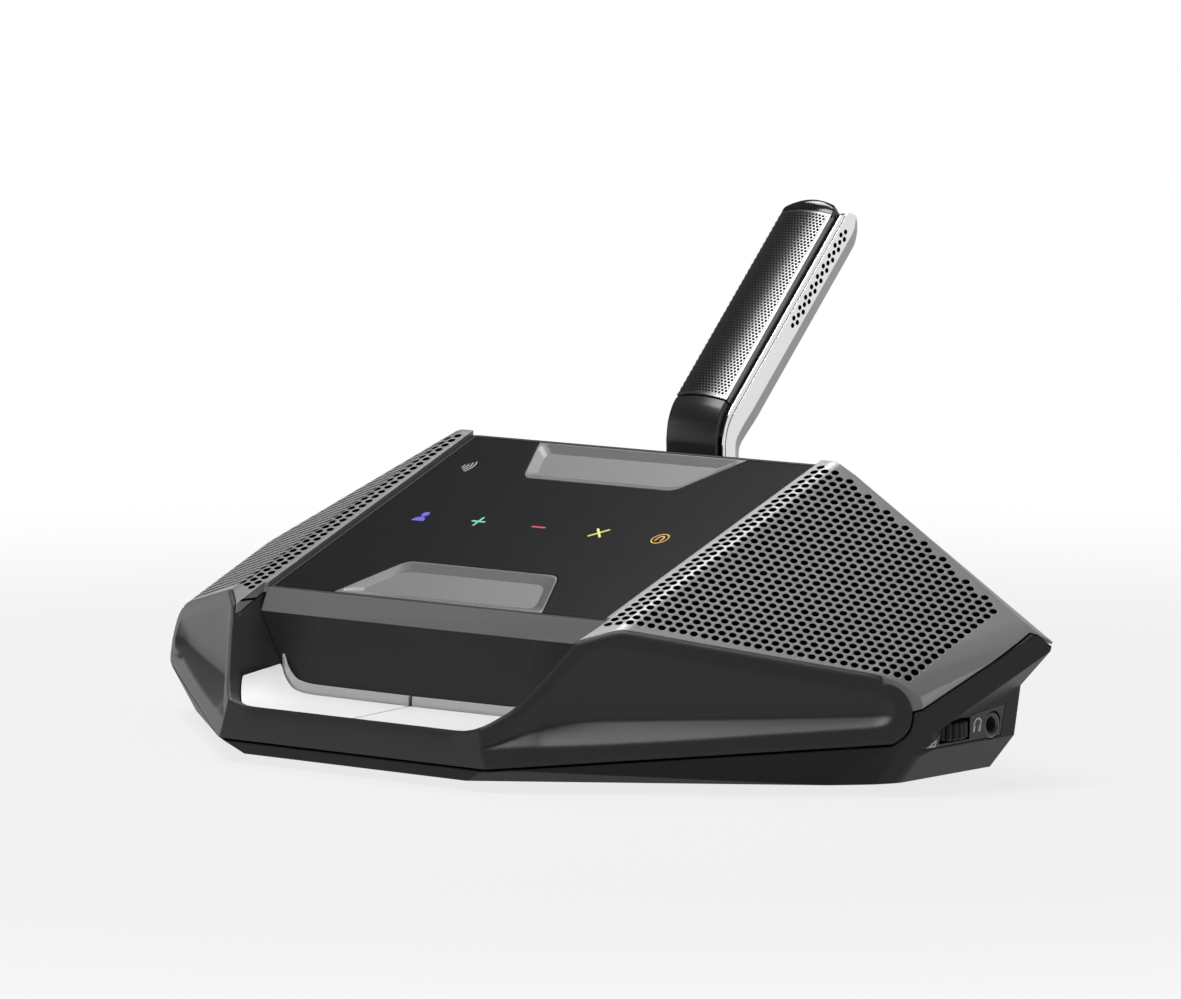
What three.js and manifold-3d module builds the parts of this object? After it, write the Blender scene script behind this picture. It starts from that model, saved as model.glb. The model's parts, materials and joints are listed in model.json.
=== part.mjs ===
// Conference delegate unit: a table-top discussion device with a sloping touch panel between two
// perforated loudspeaker grilles, two white keys in a finger recess and a plug-in microphone.
// Millimetres. +X is the user's right, +Y points to the back and +Z up. The parts are drawn from
// the middle of the front edge and then moved to the middle of the whole unit.
import * as THREE from 'three';
import { mergeVertices } from 'three/addons/utils/BufferGeometryUtils.js';
import Module from 'manifold-3d';

const wasm = await Module();
wasm.setup();

// Outer body, corner points of the right half

const bodyDepth = 103.5;
const baseBottom = 2.3;
const wellHalf = 47.9;
const panelBorder = 7.7;
const panelWidening = 1.6;
const panelFrontHalf = wellHalf + panelBorder;
const panelRearHalf = panelFrontHalf + panelWidening;
const rearInset = { ridge: 0.5, seam: 6.5, band: 1.5, crease: 2.5, tip: 0.7, slope: -0.4, panel: 0.8 };
const seamDepth = bodyDepth - rearInset.seam;
const bandDepth = bodyDepth - rearInset.band;
const creaseDepth = bodyDepth - rearInset.crease;
const ridgeWidths = { front: 8.2, rear: 4.9, slope: 7.3 };
const cornerInset = 4.1;
const footInset = 11.4;
const ridgeFront = [panelFrontHalf + ridgeWidths.front, 23.6, 37.6];
const ridgeRear = [panelRearHalf + ridgeWidths.rear, bodyDepth - rearInset.ridge, 71.5];
const frontCorner = [wellHalf - cornerInset, 0, 5.7];
const seamEnd = [118.3, 57.5, 12.6];
const grilleCorner = [118.6, 61.8, 26.8];
const seamFront = [122.2, 62.3, 19.7];
const seamRear = [129.5, seamDepth, 36.2];
const bandRear = [128.6, bandDepth, 31];
const shelfFront = [121.3, 66, 12.9];
const shelfRear = [126.3, bandDepth, 28.4];
const shelfInner = [119.8, bandDepth, 22.1];
const creaseFront = [121, 66, 10.3];
const creaseRear = [118, creaseDepth, 10.5];
const footFront = [113.6, 66, baseBottom];
const footRear = [110.6, creaseDepth, baseBottom];
const footCorner = [111, 60.4, baseBottom];
const footBend = [104.4, 52.6, baseBottom];
const footInner = [wellHalf - footInset, 1.2, baseBottom];
const lowFront = [0, 0, 5.2];
const lowFrontFoot = [0, 1.2, baseBottom];
const slopeRidge = [panelRearHalf + ridgeWidths.slope, bodyDepth - rearInset.slope, 70.7];
const slopeEnd = [129.5, seamDepth, 36.4];
const slopeTip = [129.5, bodyDepth - rearInset.tip, 33.8];
const lipSeam = [129.4, bodyDepth, 33];
// Across, depth and drop under the grille's flat face
const rollPoints = [
  [[105.4, 52.2, 0.1], [116.6, 60.2, 1.5], [122, seamDepth, 0]],
  [[116.6, 60.2, 1.5], [120.1, 61.9, 3.1], [125.4, seamDepth, 0]],
  [[120.1, 61.9, 3.1], [122.2, 62.3, 5.6], [128.4, seamDepth, 0]],
];

// Walls and clearances

const shellWall = 2.2;
const castWall = 3;
const bezelDepth = 7.5;
const grooveReach = 15;
const bezelLip = 0.9;
const gap = 0.3;
const farOut = 400;
const overrun = 5;

// Touch panel, lip and plaques

const lipBottom = [26.4, 33.2];
const lipTop = [28.9, 38.8];
const panelRear = [bodyDepth - rearInset.panel, 70.2];
const rimThickness = 0.7;
const glassThickness = 2;
const deckThickness = 2.4;
const plaqueDrop = 0.9;
const plaqueRim = 1.6;
const plaqueWideHalf = 34.1;
const plaqueNarrowHalf = 24.8;
const plaqueLength = 17;
const deckWall = 2.2;

// Finger recess and keys

// The recess curve's points: distance outside the key well's side, and height
const recessPoints = [
  [-11.9, 14], [-6.9, 15.2], [-3.5, 17.4], [-0.6, 20.1], [3.1, 25.6], [6.2, 31], [7.7, 33.8], [8.7, 36.8],
  [9.1, 40],
];
const recessCurve = recessPoints.map(([x, z]) => [wellHalf + x, z]);
const recessTop = 60;
const recessWallFoot = 17.4;
const recessWallMiddleY = 21.6;
const recessWallEndY = 26.5;
const recessWallBend = wellHalf + recessPoints[0][0];
const recessWallEnd = wellHalf;
const sideWallThickness = 2.2;
const wellFloorTop = 8;
const wellFloorThickness = 2;
const wellRim = 21;
const frontWall = 0.9;
const keyThickness = 2.4;
const keyLightWidth = 0.9;
const keyLightRise = 2.3;
const keyLightDrop = 1.6;

// Key edge points: distance inside the well's side, front edge depth and height, rear edge depth and height
const keySplitHalf = 0.25;
const keyMiddle = [1.2, 14, 20, 15.1];
const keyPoints = [
  [13.9, 1.2, 14, 20, 15.3], [9.9, 2.4, 14.3, 20.4, 15.9], [6.9, 4.8, 15.2, 21.3, 17],
  [3.9, 7.8, 16.8, 22.8, 18.6], [1.9, 10, 18.2, 24.1, 20.1], [0.7, 11.6, 19.4, 24.7, 21.2],
];
const keyStations = [
  [keySplitHalf, ...keyMiddle], ...keyPoints.map(([inset, ...edge]) => [wellHalf - inset, ...edge]),
];

// Wing groove, in the plane of the wing's front

// Across the wing, the heights of the groove's foot, valley and top, and the valley's depth
const grooveStations = [
  [-1.5, 10.3, 10.33, 10.36, 0.05], [6, 10.7, 12.8, 15.45, 2], [14, 11.13, 15.8, 23.16, 3.9],
  [21.3, 11.5, 17.2, 31, 4.55], [27.2, 11.8, 17.4, 34, 4.5], [30.5, 12, 17.5, 33.9, 4.4],
  [41.1, 12.7, 17.7, 32.2, 4.1], [60, 14.15, 18.1, 28.9, 3.4], [80, 15.7, 18.7, 25.7, 2.6],
  [89.6, 16.5, 19.1, 24.15, 2.1], [92.4, 16.9, 19.25, 23.5, 1.55], [94.2, 17.6, 19.3, 22.2, 0.8],
  [95.3, 18.9, 19.28, 19.8, 0.1],
];

// Grille holes: the middle of their lattice in plan, its two steps, and the clear rim round them

const holeMiddle = [91.2, 67.3];
const holeSteps = [[8.42, 5.56], [0.09, 9.32]];
const holeReach = 8;
const holeRadius = 0.84;
const holeRim = 2.4;
const holeSides = 6;

// Side controls

const controlInset = { wheel: 25.2, jack: 9.9, boardFront: 35.5, boardRear: 4.5 };
const wheelCentre = [114.2, bodyDepth - controlInset.wheel, 14.1];
const wheelRadius = 8;
const wheelHeight = 4.2;
const wheelClearance = 0.6;
const wheelRibs = 26;
const wheelRibDepth = 0.5;
const potTop = 22;
// The plate's corners: distance from the headphone socket along the side, and height
const platePoints = [[-23.2, 10.9], [4, 11.1], [4.4, 18.6], [-6.6, 17.5], [-20.6, 13.9]];
const plateThickness = 1.5;
const jackCentre = [118.4, bodyDepth - controlInset.jack, 14];
const plateOutline = platePoints.map(([y, z]) => [jackCentre[1] + y, z]);
const jackBore = 1.8;
const jackRing = 3.2;
const jackProud = 0.9;
const jackHalf = 3.4;
const jackLength = 12;
const jackSetback = 1.8;

// Rear housing, sockets and their bay

const rearDepth = 36;
const rearEnd = bodyDepth + rearDepth;
const rearCorners = { topFront: 58, lowFront: 71, topRear: 50, lowRear: 60 };
const rearSlopeShare = -0.448;
const rearTrayTop = 22;
const rearWallFoot = 58;
const rearLowZ = 20;
const rearTopZ = 54;
const bayHalf = 27;
const bayDepth = 16;
const bayTop = 19;
const bayWall = 2;
const networkHalf = 8;
const networkPitch = 11;
const networkHeight = 11.5;
const networkLength = 16;
const networkMouth = { half: 5.9, low: 2, high: 8.6, depth: 12 };
const collarHalf = [12, 6];
const collarTop = 62.4;
const collarBottom = 52;
const collarBehind = 22.1;
const collarMiddleY = bodyDepth + collarBehind;
const socketHalf = [8, 3.9];
const socketFoot = 53.8;
const plugFoot = 54.4;

// Microphone: front and rear points of its side view from the foot upwards, from the middle of the
// collar's top

const micPoints = [
  [[-3.6, 0.3], [3.9, 0.3]], [[-3.6, 9.2], [3.9, 6.6]], [[-2.9, 12.9], [4.7, 8.3]], [[-1, 16.6], [6.6, 10.3]],
  [[2.84, 21], [10.5, 14.1]], [[40.3, 62.6], [48, 55.7]], [[41.8, 64.2], [48.5, 58.4]],
  [[42.6, 65], [48.3, 60.6]], [[43.2, 65.5], [47.3, 62.6]],
];
const micStations = micPoints.map((pair) => pair.map(([y, z]) => [collarMiddleY + y, collarTop + z]));
const micHalf = 9.2;
const micBackHalf = 8;
const micDepth = 10.3;
const micBevel = 6.3;
const micWall = 1.3;
const micInner = 6.9;
const frontHalf = 7.6;
const frontCrown = 2.2;
const frontNear = -0.6;
const frontBack = 1.6;
const meshWall = 0.9;
const capBack = 8.6;
const coverTopShare = 0.3;
const meshFootShare = 0.36;
const capFootShare = 0.15;
const micFootDepths = [2, 8.6];
const micFootRise = 2.1;
const micFootTop = collarTop + micFootRise;
const plugHalf = [6, 2];
const micBoardDepths = [4.3, 5.5];
const micBoardHalf = micHalf - micWall - gap;
const capsuleRadius = 2;
const capsuleDepth = 1.95;
const capsuleShares = [[0.42, 0.52], [0.68, 0.78]];
const micBoardTopShare = 0.9;

// Boards, loudspeakers and small parts

const boardThickness = 1.6;
const boardStandoff = 1.3;
const board = { half: 50, front: 32, rear: 5.5, tailHalf: 24, tailLength: 17.3 };
const boardRight = [
  [board.half, board.front], [board.half, bodyDepth - board.rear], [board.tailHalf, bodyDepth - board.rear],
  [board.tailHalf, bodyDepth + board.tailLength],
];
const boardOutline = [...boardRight, ...boardRight.map(([x, y]) => [-x, y]).reverse()];
const touchBoard = { half: 50, thickness: 1.2 };
const antenna = { sideInset: 1.6, width: 22, thickness: 0.8 };
const underPanelShares = { touchFront: 0.23, touchRear: 0.64, antennaFront: 0.69, antennaRear: 0.95 };
const keyBoard = { low: [-33, 4], high: [33, 19] };
const domePlace = [20, 10.5];
const domeRadius = 3;
const controlBoard = {
  x: 109,
  low: [bodyDepth - controlInset.boardFront, 6.5],
  high: [bodyDepth - controlInset.boardRear, 25],
};
const potRadius = 2.8;
const shaftRadius = 1.2;
const runningFit = 0.08;
const speakerInset = 23.5;
const speakerMiddle = [84, bodyDepth - speakerInset];
const speakerRadius = 17;
const speakerDepth = 8;
const magnetRadius = 9;
const magnetDepth = 6;
const gasketWidth = 2.4;
const gasketThickness = 1.2;
const footRadius = 6;
const footThickness = 2.9;
const footPocket = 0.8;
const rearFootInset = 13.5;
const footPlaces = [[28, 30], [84, bodyDepth - rearFootInset]];
const columnRadius = 3.2;
const screwHeadRadius = 2.7;
const screwHeadHeight = 1.4;
const screwRadius = 1.4;
const shortScrewTop = 8;
const longScrewTop = 12;
const rearScrewBehind = 12.5;
const screwPlaces = { bezel: [30, 15], grille: [101, 64], rear: [40, bodyDepth + rearScrewBehind] };
const rearSupportInset = 11.5;
const boardSupports = [[44, 40], [44, bodyDepth - rearSupportInset]];
const sides = 24;
const smallSides = 16;
const capsuleSides = 12;
const crownSteps = 8;

const finish = {
  casting: new THREE.MeshStandardMaterial({ color: 0x333436, roughness: 0.55, metalness: 0.3 }),
  bezel: new THREE.MeshStandardMaterial({ color: 0x3a3b3d, roughness: 0.5, metalness: 0.1 }),
  grille: new THREE.MeshStandardMaterial({ color: 0x77787a, roughness: 0.42, metalness: 0.35 }),
  deck: new THREE.MeshStandardMaterial({ color: 0x5c5d5f, roughness: 0.5, metalness: 0.1 }),
  glass: new THREE.MeshStandardMaterial({ color: 0x262627, roughness: 0.28, metalness: 0 }),
  plaque: new THREE.MeshStandardMaterial({ color: 0x88898b, roughness: 0.4, metalness: 0.5 }),
  key: new THREE.MeshStandardMaterial({ color: 0xececec, roughness: 0.35, metalness: 0 }),
  light: new THREE.MeshStandardMaterial({ color: 0xc4c5c6, roughness: 0.3, metalness: 0 }),
  dark: new THREE.MeshStandardMaterial({ color: 0x1c1c1d, roughness: 0.6, metalness: 0 }),
  rubber: new THREE.MeshStandardMaterial({ color: 0x161616, roughness: 0.9, metalness: 0 }),
  board: new THREE.MeshStandardMaterial({ color: 0x1f5a3a, roughness: 0.6, metalness: 0 }),
  steel: new THREE.MeshStandardMaterial({ color: 0xb9bbbd, roughness: 0.3, metalness: 0.9 }),
  chrome: new THREE.MeshStandardMaterial({ color: 0xdcdde0, roughness: 0.15, metalness: 1 }),
  gloss: new THREE.MeshStandardMaterial({ color: 0x141415, roughness: 0.12, metalness: 0 }),
  mesh: new THREE.MeshStandardMaterial({ color: 0x242425, roughness: 0.5, metalness: 0.6 }),
};

const unit = new THREE.Group();
const parts = new THREE.Group();
unit.add(parts);

// Closed bodies made from three.js geometry

function solidOf(geometry) {
  const bare = geometry.clone();
  bare.deleteAttribute('normal');
  bare.deleteAttribute('uv');
  const merged = mergeVertices(bare);
  return new wasm.Manifold(new wasm.Mesh({
    numProp: 3,
    vertProperties: new Float32Array(merged.attributes.position.array),
    triVerts: new Uint32Array(merged.index.array),
  }));
}

function add(name, solid, material) {
  const mesh = solid.getMesh();
  const geometry = new THREE.BufferGeometry();
  geometry.setAttribute('position', new THREE.BufferAttribute(mesh.vertProperties, 3));
  geometry.setIndex(new THREE.BufferAttribute(mesh.triVerts, 1));
  const part = new THREE.Mesh(geometry, material);
  part.name = name;
  parts.add(part);
}

function block(low, high) {
  const size = high.map((value, axis) => value - low[axis]);
  const geometry = new THREE.BoxGeometry(...size);
  geometry.translate(...high.map((value, axis) => (value + low[axis]) / 2));
  return solidOf(geometry);
}

function rod(radius, from, to, count = sides) {
  const start = new THREE.Vector3(...from);
  const along = new THREE.Vector3(...to).sub(start);
  const geometry = new THREE.CylinderGeometry(radius, radius, along.length(), count);
  geometry.translate(0, along.length() / 2, 0);
  geometry.applyQuaternion(new THREE.Quaternion().setFromUnitVectors(
    new THREE.Vector3(0, 1, 0), along.normalize()));
  geometry.translate(start.x, start.y, start.z);
  return solidOf(geometry);
}

function closedBody(corners, faces) {
  const point = (index) => new THREE.Vector3(...corners.slice(index * 3, index * 3 + 3));
  let volume = 0;
  for (let index = 0; index < faces.length; index += 3) {
    const [a, b, c] = faces.slice(index, index + 3).map(point);
    volume += a.dot(b.cross(c));
  }
  const geometry = new THREE.BufferGeometry();
  geometry.setAttribute('position', new THREE.BufferAttribute(new Float32Array(corners), 3));
  geometry.setIndex(volume < 0 ? faces.slice().reverse() : faces);
  return solidOf(geometry);
}

// A body through matching closed rings of points; the flat outline closes both ends
function loft(rings, flat) {
  const count = flat.length;
  const faces = [];
  for (let ring = 0; ring + 1 < rings.length; ring += 1) {
    for (let step = 0; step < count; step += 1) {
      const here = ring * count + step;
      const next = ring * count + (step + 1) % count;
      faces.push(here, next, next + count, here, next + count, here + count);
    }
  }
  const shape = flat.map(([u, v]) => new THREE.Vector2(u, v));
  const turn = Math.sign(THREE.ShapeUtils.area(shape));
  const last = (rings.length - 1) * count;
  for (const [a, b, c] of THREE.ShapeUtils.triangulateShape(shape, [])) {
    const same = Math.sign(THREE.ShapeUtils.area([shape[a], shape[b], shape[c]])) === turn;
    const [second, third] = same ? [b, c] : [c, b];
    faces.push(a, third, second, last + a, last + second, last + third);
  }
  return closedBody(rings.flat(2), faces);
}

const along = {
  x: ([y, z], x) => [x, y, z],
  y: ([x, z], y) => [x, y, z],
  z: ([x, y], z) => [x, y, z],
};

// A straight body over a flat outline, along one axis
function prism(axis, points, low, high) {
  return loft([low, high].map((place) => points.map((point) => along[axis](point, place))), points);
}

function union(...solids) {
  return solids.reduce((whole, solid) => whole.add(solid));
}

function cut(solid, ...tools) {
  return tools.reduce((rest, tool) => rest.subtract(tool), solid);
}

function mirrored(solid) {
  const mesh = solid.getMesh();
  const corners = Array.from(mesh.vertProperties).map((value, index) => (index % 3 ? value : -value));
  return closedBody(corners, Array.from(mesh.triVerts));
}

function both(solid) {
  return solid.add(mirrored(solid));
}

function addPair(name, solid, material) {
  add(`${name}_right`, solid, material);
  add(`${name}_left`, mirrored(solid), material);
}

// Planes through three points, facing away from the middle of the body

const middle = new THREE.Vector3(0, bodyDepth / 2, ridgeFront[2] / 2);

function plane(a, b, c) {
  const point = new THREE.Vector3(...a);
  const first = new THREE.Vector3(...b).sub(point);
  const normal = new THREE.Vector3(...c).sub(point).cross(first).normalize();
  if (normal.dot(middle.clone().sub(point)) > 0) {
    normal.negate();
  }
  return { point, normal };
}

// The space outside a plane that is moved inwards by the inset
function beyond({ point, normal }, inset = 0) {
  const geometry = new THREE.BoxGeometry(farOut * 2, farOut * 2, farOut);
  geometry.translate(0, 0, farOut / 2 - inset);
  geometry.applyQuaternion(new THREE.Quaternion().setFromUnitVectors(new THREE.Vector3(0, 0, 1), normal));
  geometry.translate(point.x, point.y, point.z);
  return solidOf(geometry);
}

const everywhere = block([-farOut, -farOut, -farOut], [farOut, farOut, farOut]);
const wing = plane(frontCorner, grilleCorner, ridgeFront);
const wall = plane(creaseFront, creaseRear, shelfInner);
const shelf = plane(shelfFront, shelfRear, shelfInner);
const front = { point: new THREE.Vector3(0, 0, 0), normal: new THREE.Vector3(0, -1, 0) };
const rear = { point: new THREE.Vector3(0, bodyDepth, 0), normal: new THREE.Vector3(0, 1, 0) };
const floor = { point: new THREE.Vector3(0, 0, baseBottom), normal: new THREE.Vector3(0, 0, -1) };
const grilleFace = plane(ridgeFront, grilleCorner, ridgeRear);
function onFace([x, y], drop) {
  const { point, normal } = grilleFace;
  return [x, y, point.z - drop - ((x - point.x) * normal.x + (y - point.y) * normal.y) / normal.z];
}
const sidePlanes = [
  grilleFace,
  ...rollPoints.map((points) => plane(...points.map(([x, y, drop]) => onFace([x, y], drop)))),
  plane(seamFront, seamRear, bandRear),
  plane(creaseFront, creaseRear, footRear),
  plane(footFront, footCorner, creaseFront),
  plane(footCorner, footBend, seamEnd),
  plane(footInner, footBend, frontCorner),
  plane(footBend, seamEnd, frontCorner),
  plane(slopeRidge, slopeEnd, slopeTip),
];
const topPlane = plane(ridgeFront, ridgeRear, [0, ridgeFront[1], ridgeFront[2]]);
const lowPlane = plane(lowFront, lowFrontFoot, [frontCorner[0], lowFront[1], lowFront[2]]);

// The outer body with every face moved inwards; the front and floor may be moved by other amounts
function bodyForm(inset, wingInset = inset, floorInset = inset) {
  let solid = everywhere;
  for (const [face, depth] of [[topPlane, inset], [rear, inset], [floor, floorInset]]) {
    solid = solid.subtract(beyond(face, depth));
  }
  const frontFaces = [front, lowPlane].map((face) => beyond(face, wingInset));
  const rightFaces = union(...sidePlanes.map((face) => beyond(face, inset)), beyond(wing, wingInset),
    beyond(wall, inset).intersect(beyond(shelf, inset)));
  return cut(solid, ...frontFaces, rightFaces, mirrored(rightFaces));
}

// Zones that the top parts share between them

function frontZone(depth) {
  return union(beyond(wing, depth), mirrored(beyond(wing, depth)), beyond(front, depth));
}

function aboveFrontSeam(lift) {
  const rise = (seamEnd[2] - frontCorner[2]) / (seamEnd[0] - frontCorner[0]);
  const level = frontCorner[2] + lift;
  const farLevel = level + (farOut - frontCorner[0]) * rise;
  return prism('y', [
    [-farOut, farLevel], [-frontCorner[0], level], [frontCorner[0], level], [farOut, farLevel],
    [farOut, farOut], [-farOut, farOut],
  ], -farOut, farOut);
}

function aboveSideSeam(lift) {
  return prism('x', [
    [-farOut, seamFront[2] + lift], [seamFront[1], seamFront[2] + lift], [seamRear[1], seamRear[2] + lift],
    [lipSeam[1], lipSeam[2] + lift], [farOut, lipSeam[2] + lift], [farOut, farOut], [-farOut, farOut],
  ], -farOut, farOut);
}

// The strip between the two grilles, whose width grows a little to the rear
function betweenGrilles(clearance) {
  const widening = (panelRearHalf - panelFrontHalf) / (panelRear[0] - lipTop[0]);
  const low = panelFrontHalf - lipTop[0] * widening + clearance;
  const high = low + farOut * widening;
  return prism('z', [[-low, 0], [low, 0], [high, farOut], [-high, farOut]], -farOut, farOut);
}

// The space under the panel's plane, moved down by the drop
const panelRise = (panelRear[1] - lipTop[1]) / (panelRear[0] - lipTop[0]);
function underPanel(drop) {
  const level = (y) => lipTop[1] - drop + (y - lipTop[0]) * panelRise;
  return prism('x', [[-farOut, level(-farOut)], [farOut, level(farOut)], [farOut, -farOut * 2],
    [-farOut, -farOut * 2]], -farOut, farOut);
}

// The space behind the recess wall and the lip, moved back by the offset
function behindRecess(offset) {
  const stations = [
    [-farOut, recessWallEndY], [-recessWallEnd, recessWallEndY], [-recessWallBend, recessWallMiddleY],
    [recessWallBend, recessWallMiddleY], [recessWallEnd, recessWallEndY], [farOut, recessWallEndY],
  ];
  const ring = (x, y) => [
    [x, y + offset, -farOut], [x, y + offset, recessWallFoot], [x, lipBottom[0] + offset, lipBottom[1]],
    [x, lipTop[0] + offset, lipTop[1]], [x, lipTop[0] + offset, farOut], [x, farOut, farOut],
    [x, farOut, -farOut],
  ];
  const rings = stations.map(([x, y]) => ring(x, y));
  return loft(rings, rings[0].map(([, y, z]) => [y, z]));
}

// The finger recess: above the curve and in front of the recess wall
function recessCut() {
  const last = recessCurve[recessCurve.length - 1];
  const right = [...recessCurve, [last[0], recessTop]];
  const left = right.map(([x, z]) => [-x, z]).reverse();
  return prism('y', [...right, ...left], -farOut, farOut).subtract(behindRecess(0));
}

// The wall at the side of the recess and of the key well, from the bezel to the lip
function recessSide() {
  const upper = recessCurve.filter(([x]) => x > wellHalf);
  const last = upper[upper.length - 1];
  const face = [[wellHalf, wellFloorTop - wellFloorThickness / 2], [wellHalf, wellRim], ...upper,
    [last[0], recessTop]];
  const back = face.map(([x, z]) => [x + sideWallThickness, z]).reverse();
  return prism('y', [...face, ...back], overrun, lipTop[0]);
}

// Points on the wing's front: across, height and depth behind it
const wingAcross = new THREE.Vector3(-wing.normal.y, wing.normal.x, 0).normalize();
function onWing(across, height, depth) {
  const start = new THREE.Vector3(...frontCorner);
  const up = new THREE.Vector3().crossVectors(wingAcross, wing.normal).normalize();
  const rise = (height - frontCorner[2]) / up.z;
  const point = start.addScaledVector(wingAcross, across).addScaledVector(up, rise);
  return point.addScaledVector(wing.normal, -depth).toArray();
}

function wingPrism(outline, near, far) {
  return loft([near, far].map((depth) => outline.map(([u, z]) => onWing(u, z, depth))), outline);
}

const bezelEndOutline = [
  [92.2, 12.4], [95.8, 13.3], [98.4, 15.8], [99.4, 19.4], [120, 19.4], [120, -10], [92.2, -10],
];

// The shared bodies that the parts are cut from

const whole = bodyForm(0);
const insideShell = bodyForm(shellWall, -overrun, -overrun);
const insideCasting = bodyForm(castWall);
const recess = recessCut();

function rearForm(inset, frontY) {
  const { topFront, lowFront, topRear, lowRear } = rearCorners;
  const sideFace = plane(
    [topFront, bodyDepth, slopeRidge[2]], [lowFront, bodyDepth, rearLowZ], [topRear, rearEnd, rearTopZ]);
  const levelAt = (y) => slopeRidge[2] + (y - bodyDepth) * rearSlopeShare;
  const top = plane([0, bodyDepth, levelAt(bodyDepth)], [lowRear, bodyDepth, levelAt(bodyDepth)],
    [0, rearEnd, levelAt(rearEnd)]);
  const tools = [top, sideFace, floor].map((face) => beyond(face, inset));
  const box = block([-farOut, frontY, 0], [farOut, rearEnd - inset, farOut]);
  return cut(box, ...tools, mirrored(tools[1]));
}

function belowLevel(z) {
  return block([-farOut, -farOut, -farOut], [farOut, farOut, z]);
}

function bay(clearance) {
  return block([-bayHalf - clearance, rearEnd - bayDepth - clearance, -farOut],
    [bayHalf + clearance, farOut, bayTop + clearance]);
}

function bezelEnd() {
  return wingPrism(bezelEndOutline, -overrun, grooveReach);
}

// The parts of the housing

function screwHoles(places, radius, low, high) {
  return both(union(...places.map(([x, y]) => rod(radius, [x, y, low], [x, y, high], smallSides))));
}

const floorTop = baseBottom + castWall;
const headTop = baseBottom + gap + screwHeadHeight;
const everyScrew = Object.values(screwPlaces);

function wheelSpace() {
  const [x, y, z] = wheelCentre;
  const half = wheelHeight / 2 + wheelClearance;
  return rod(wheelRadius + wheelClearance, [x, y, z - half], [x, y, z + half]);
}

function grown(points, amount) {
  const centre = [0, 1].map((axis) => points.reduce((sum, point) => sum + point[axis], 0) / points.length);
  return points.map((point) => {
    const away = point.map((value, axis) => value - centre[axis]);
    const length = Math.hypot(...away);
    return point.map((value, axis) => value + (away[axis] / length) * amount);
  });
}

function platePocket(clearance) {
  return prism('x', grown(plateOutline, clearance), jackCentre[0] - jackLength, farOut)
    .intersect(beyond(wall, plateThickness + clearance));
}

function jackSpace(clearance) {
  const [x, y, z] = jackCentre;
  return rod(jackRing + clearance, [x - jackLength, y, z], [x + overrun, y, z]);
}

const boardLow = floorTop + boardStandoff;
const boardTop = boardLow + boardThickness;
const socketLow = boardTop + gap;
const socketRear = rearEnd - bayDepth - bayWall - gap;

function mouthSpace(clearance) {
  const { half, low, high, depth } = networkMouth;
  return block([networkPitch - half - clearance, socketRear - depth, socketLow + low - clearance],
    [networkPitch + half + clearance, rearEnd - overrun, socketLow + high + clearance]);
}

function baseCasting() {
  const tray = rearForm(0, bodyDepth - castWall).intersect(belowLevel(rearTrayTop));
  const trayHollow = cut(rearForm(castWall, bodyDepth - castWall * 2), bay(bayWall));
  const opening = block([-rearCorners.lowRear, bodyDepth - castWall * 2, floorTop],
    [rearCorners.lowRear, bodyDepth + castWall, farOut]);
  const bezelSpace = cut(frontZone(bezelDepth + gap).intersect(aboveFrontSeam(-gap)), bezelEnd());
  const shell = cut(whole.add(tray), insideCasting, trayHollow, opening.subtract(bay(bayWall)),
    bezelSpace, aboveSideSeam(-gap));
  const supports = both(union(...boardSupports.map(([x, y]) => (
    rod(columnRadius, [x, y, baseBottom + castWall / 2], [x, y, boardLow - gap], smallSides)))));
  const feet = both(union(...footPlaces.map(([x, y]) => (
    rod(footRadius + gap, [x, y, -overrun], [x, y, baseBottom + footPocket])))));
  const controls = both(union(wheelSpace(), platePocket(gap), jackSpace(gap)));
  const mouths = both(mouthSpace(gap));
  return cut(shell.add(supports), bay(0), feet, controls, mouths,
    screwHoles(everyScrew, screwHeadRadius + gap, -overrun, headTop + gap / 2),
    screwHoles(everyScrew, screwRadius + gap / 2, 0, floorTop + overrun / 2));
}

// The groove's open section is carried across the wing from station to station
function wingGroove() {
  const section = ([, foot, valley, top, depth]) => (
    [[foot, -overrun], [foot, 0], [valley, depth], [top, 0], [top, -overrun]]);
  const rings = grooveStations.map((station) => section(station).map(([z, depth]) => (
    onWing(station[0], z, depth))));
  return loft(rings, section(grooveStations[grooveStations.length - 2]));
}

function frontBezel() {
  const groove = wingGroove();
  const skin = cut(aboveSideSeam(-gap), bodyForm(shellWall + gap, -overrun, -overrun),
    frontZone(bezelLip), betweenGrilles(0));
  const slab = cut(whole.intersect(frontZone(bezelDepth)), both(bezelEnd()), both(groove));
  const floorPlate = block([-wellHalf - sideWallThickness, frontWall, wellFloorTop - wellFloorThickness],
    [wellHalf + sideWallThickness, lipTop[0], wellFloorTop]);
  const columns = screwHoles([screwPlaces.bezel], columnRadius, floorTop + gap, wellFloorTop);
  const frontEdge = keyStations.slice(1).map(([x, y]) => [x, y - gap]);
  const lastY = frontEdge[frontEdge.length - 1][1];
  const backY = lipTop[0] + overrun;
  const wellPlan = [[-overrun, frontEdge[0][1]], ...frontEdge, [wellHalf, lastY], [wellHalf, backY],
    [-overrun, backY]];
  const well = both(prism('z', wellPlan, wellFloorTop, recessTop));
  const body = union(slab, floorPlate, columns, both(recessSide())).intersect(whole)
    .intersect(aboveFrontSeam(0));
  const carrierSpace = behindRecess(-gap).intersect(betweenGrilles(gap)).subtract(belowLevel(wellFloorTop));
  return cut(body, recess, well, skin, carrierSpace,
    screwHoles([screwPlaces.bezel], screwRadius + gap / 2, 0, farOut));
}

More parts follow.
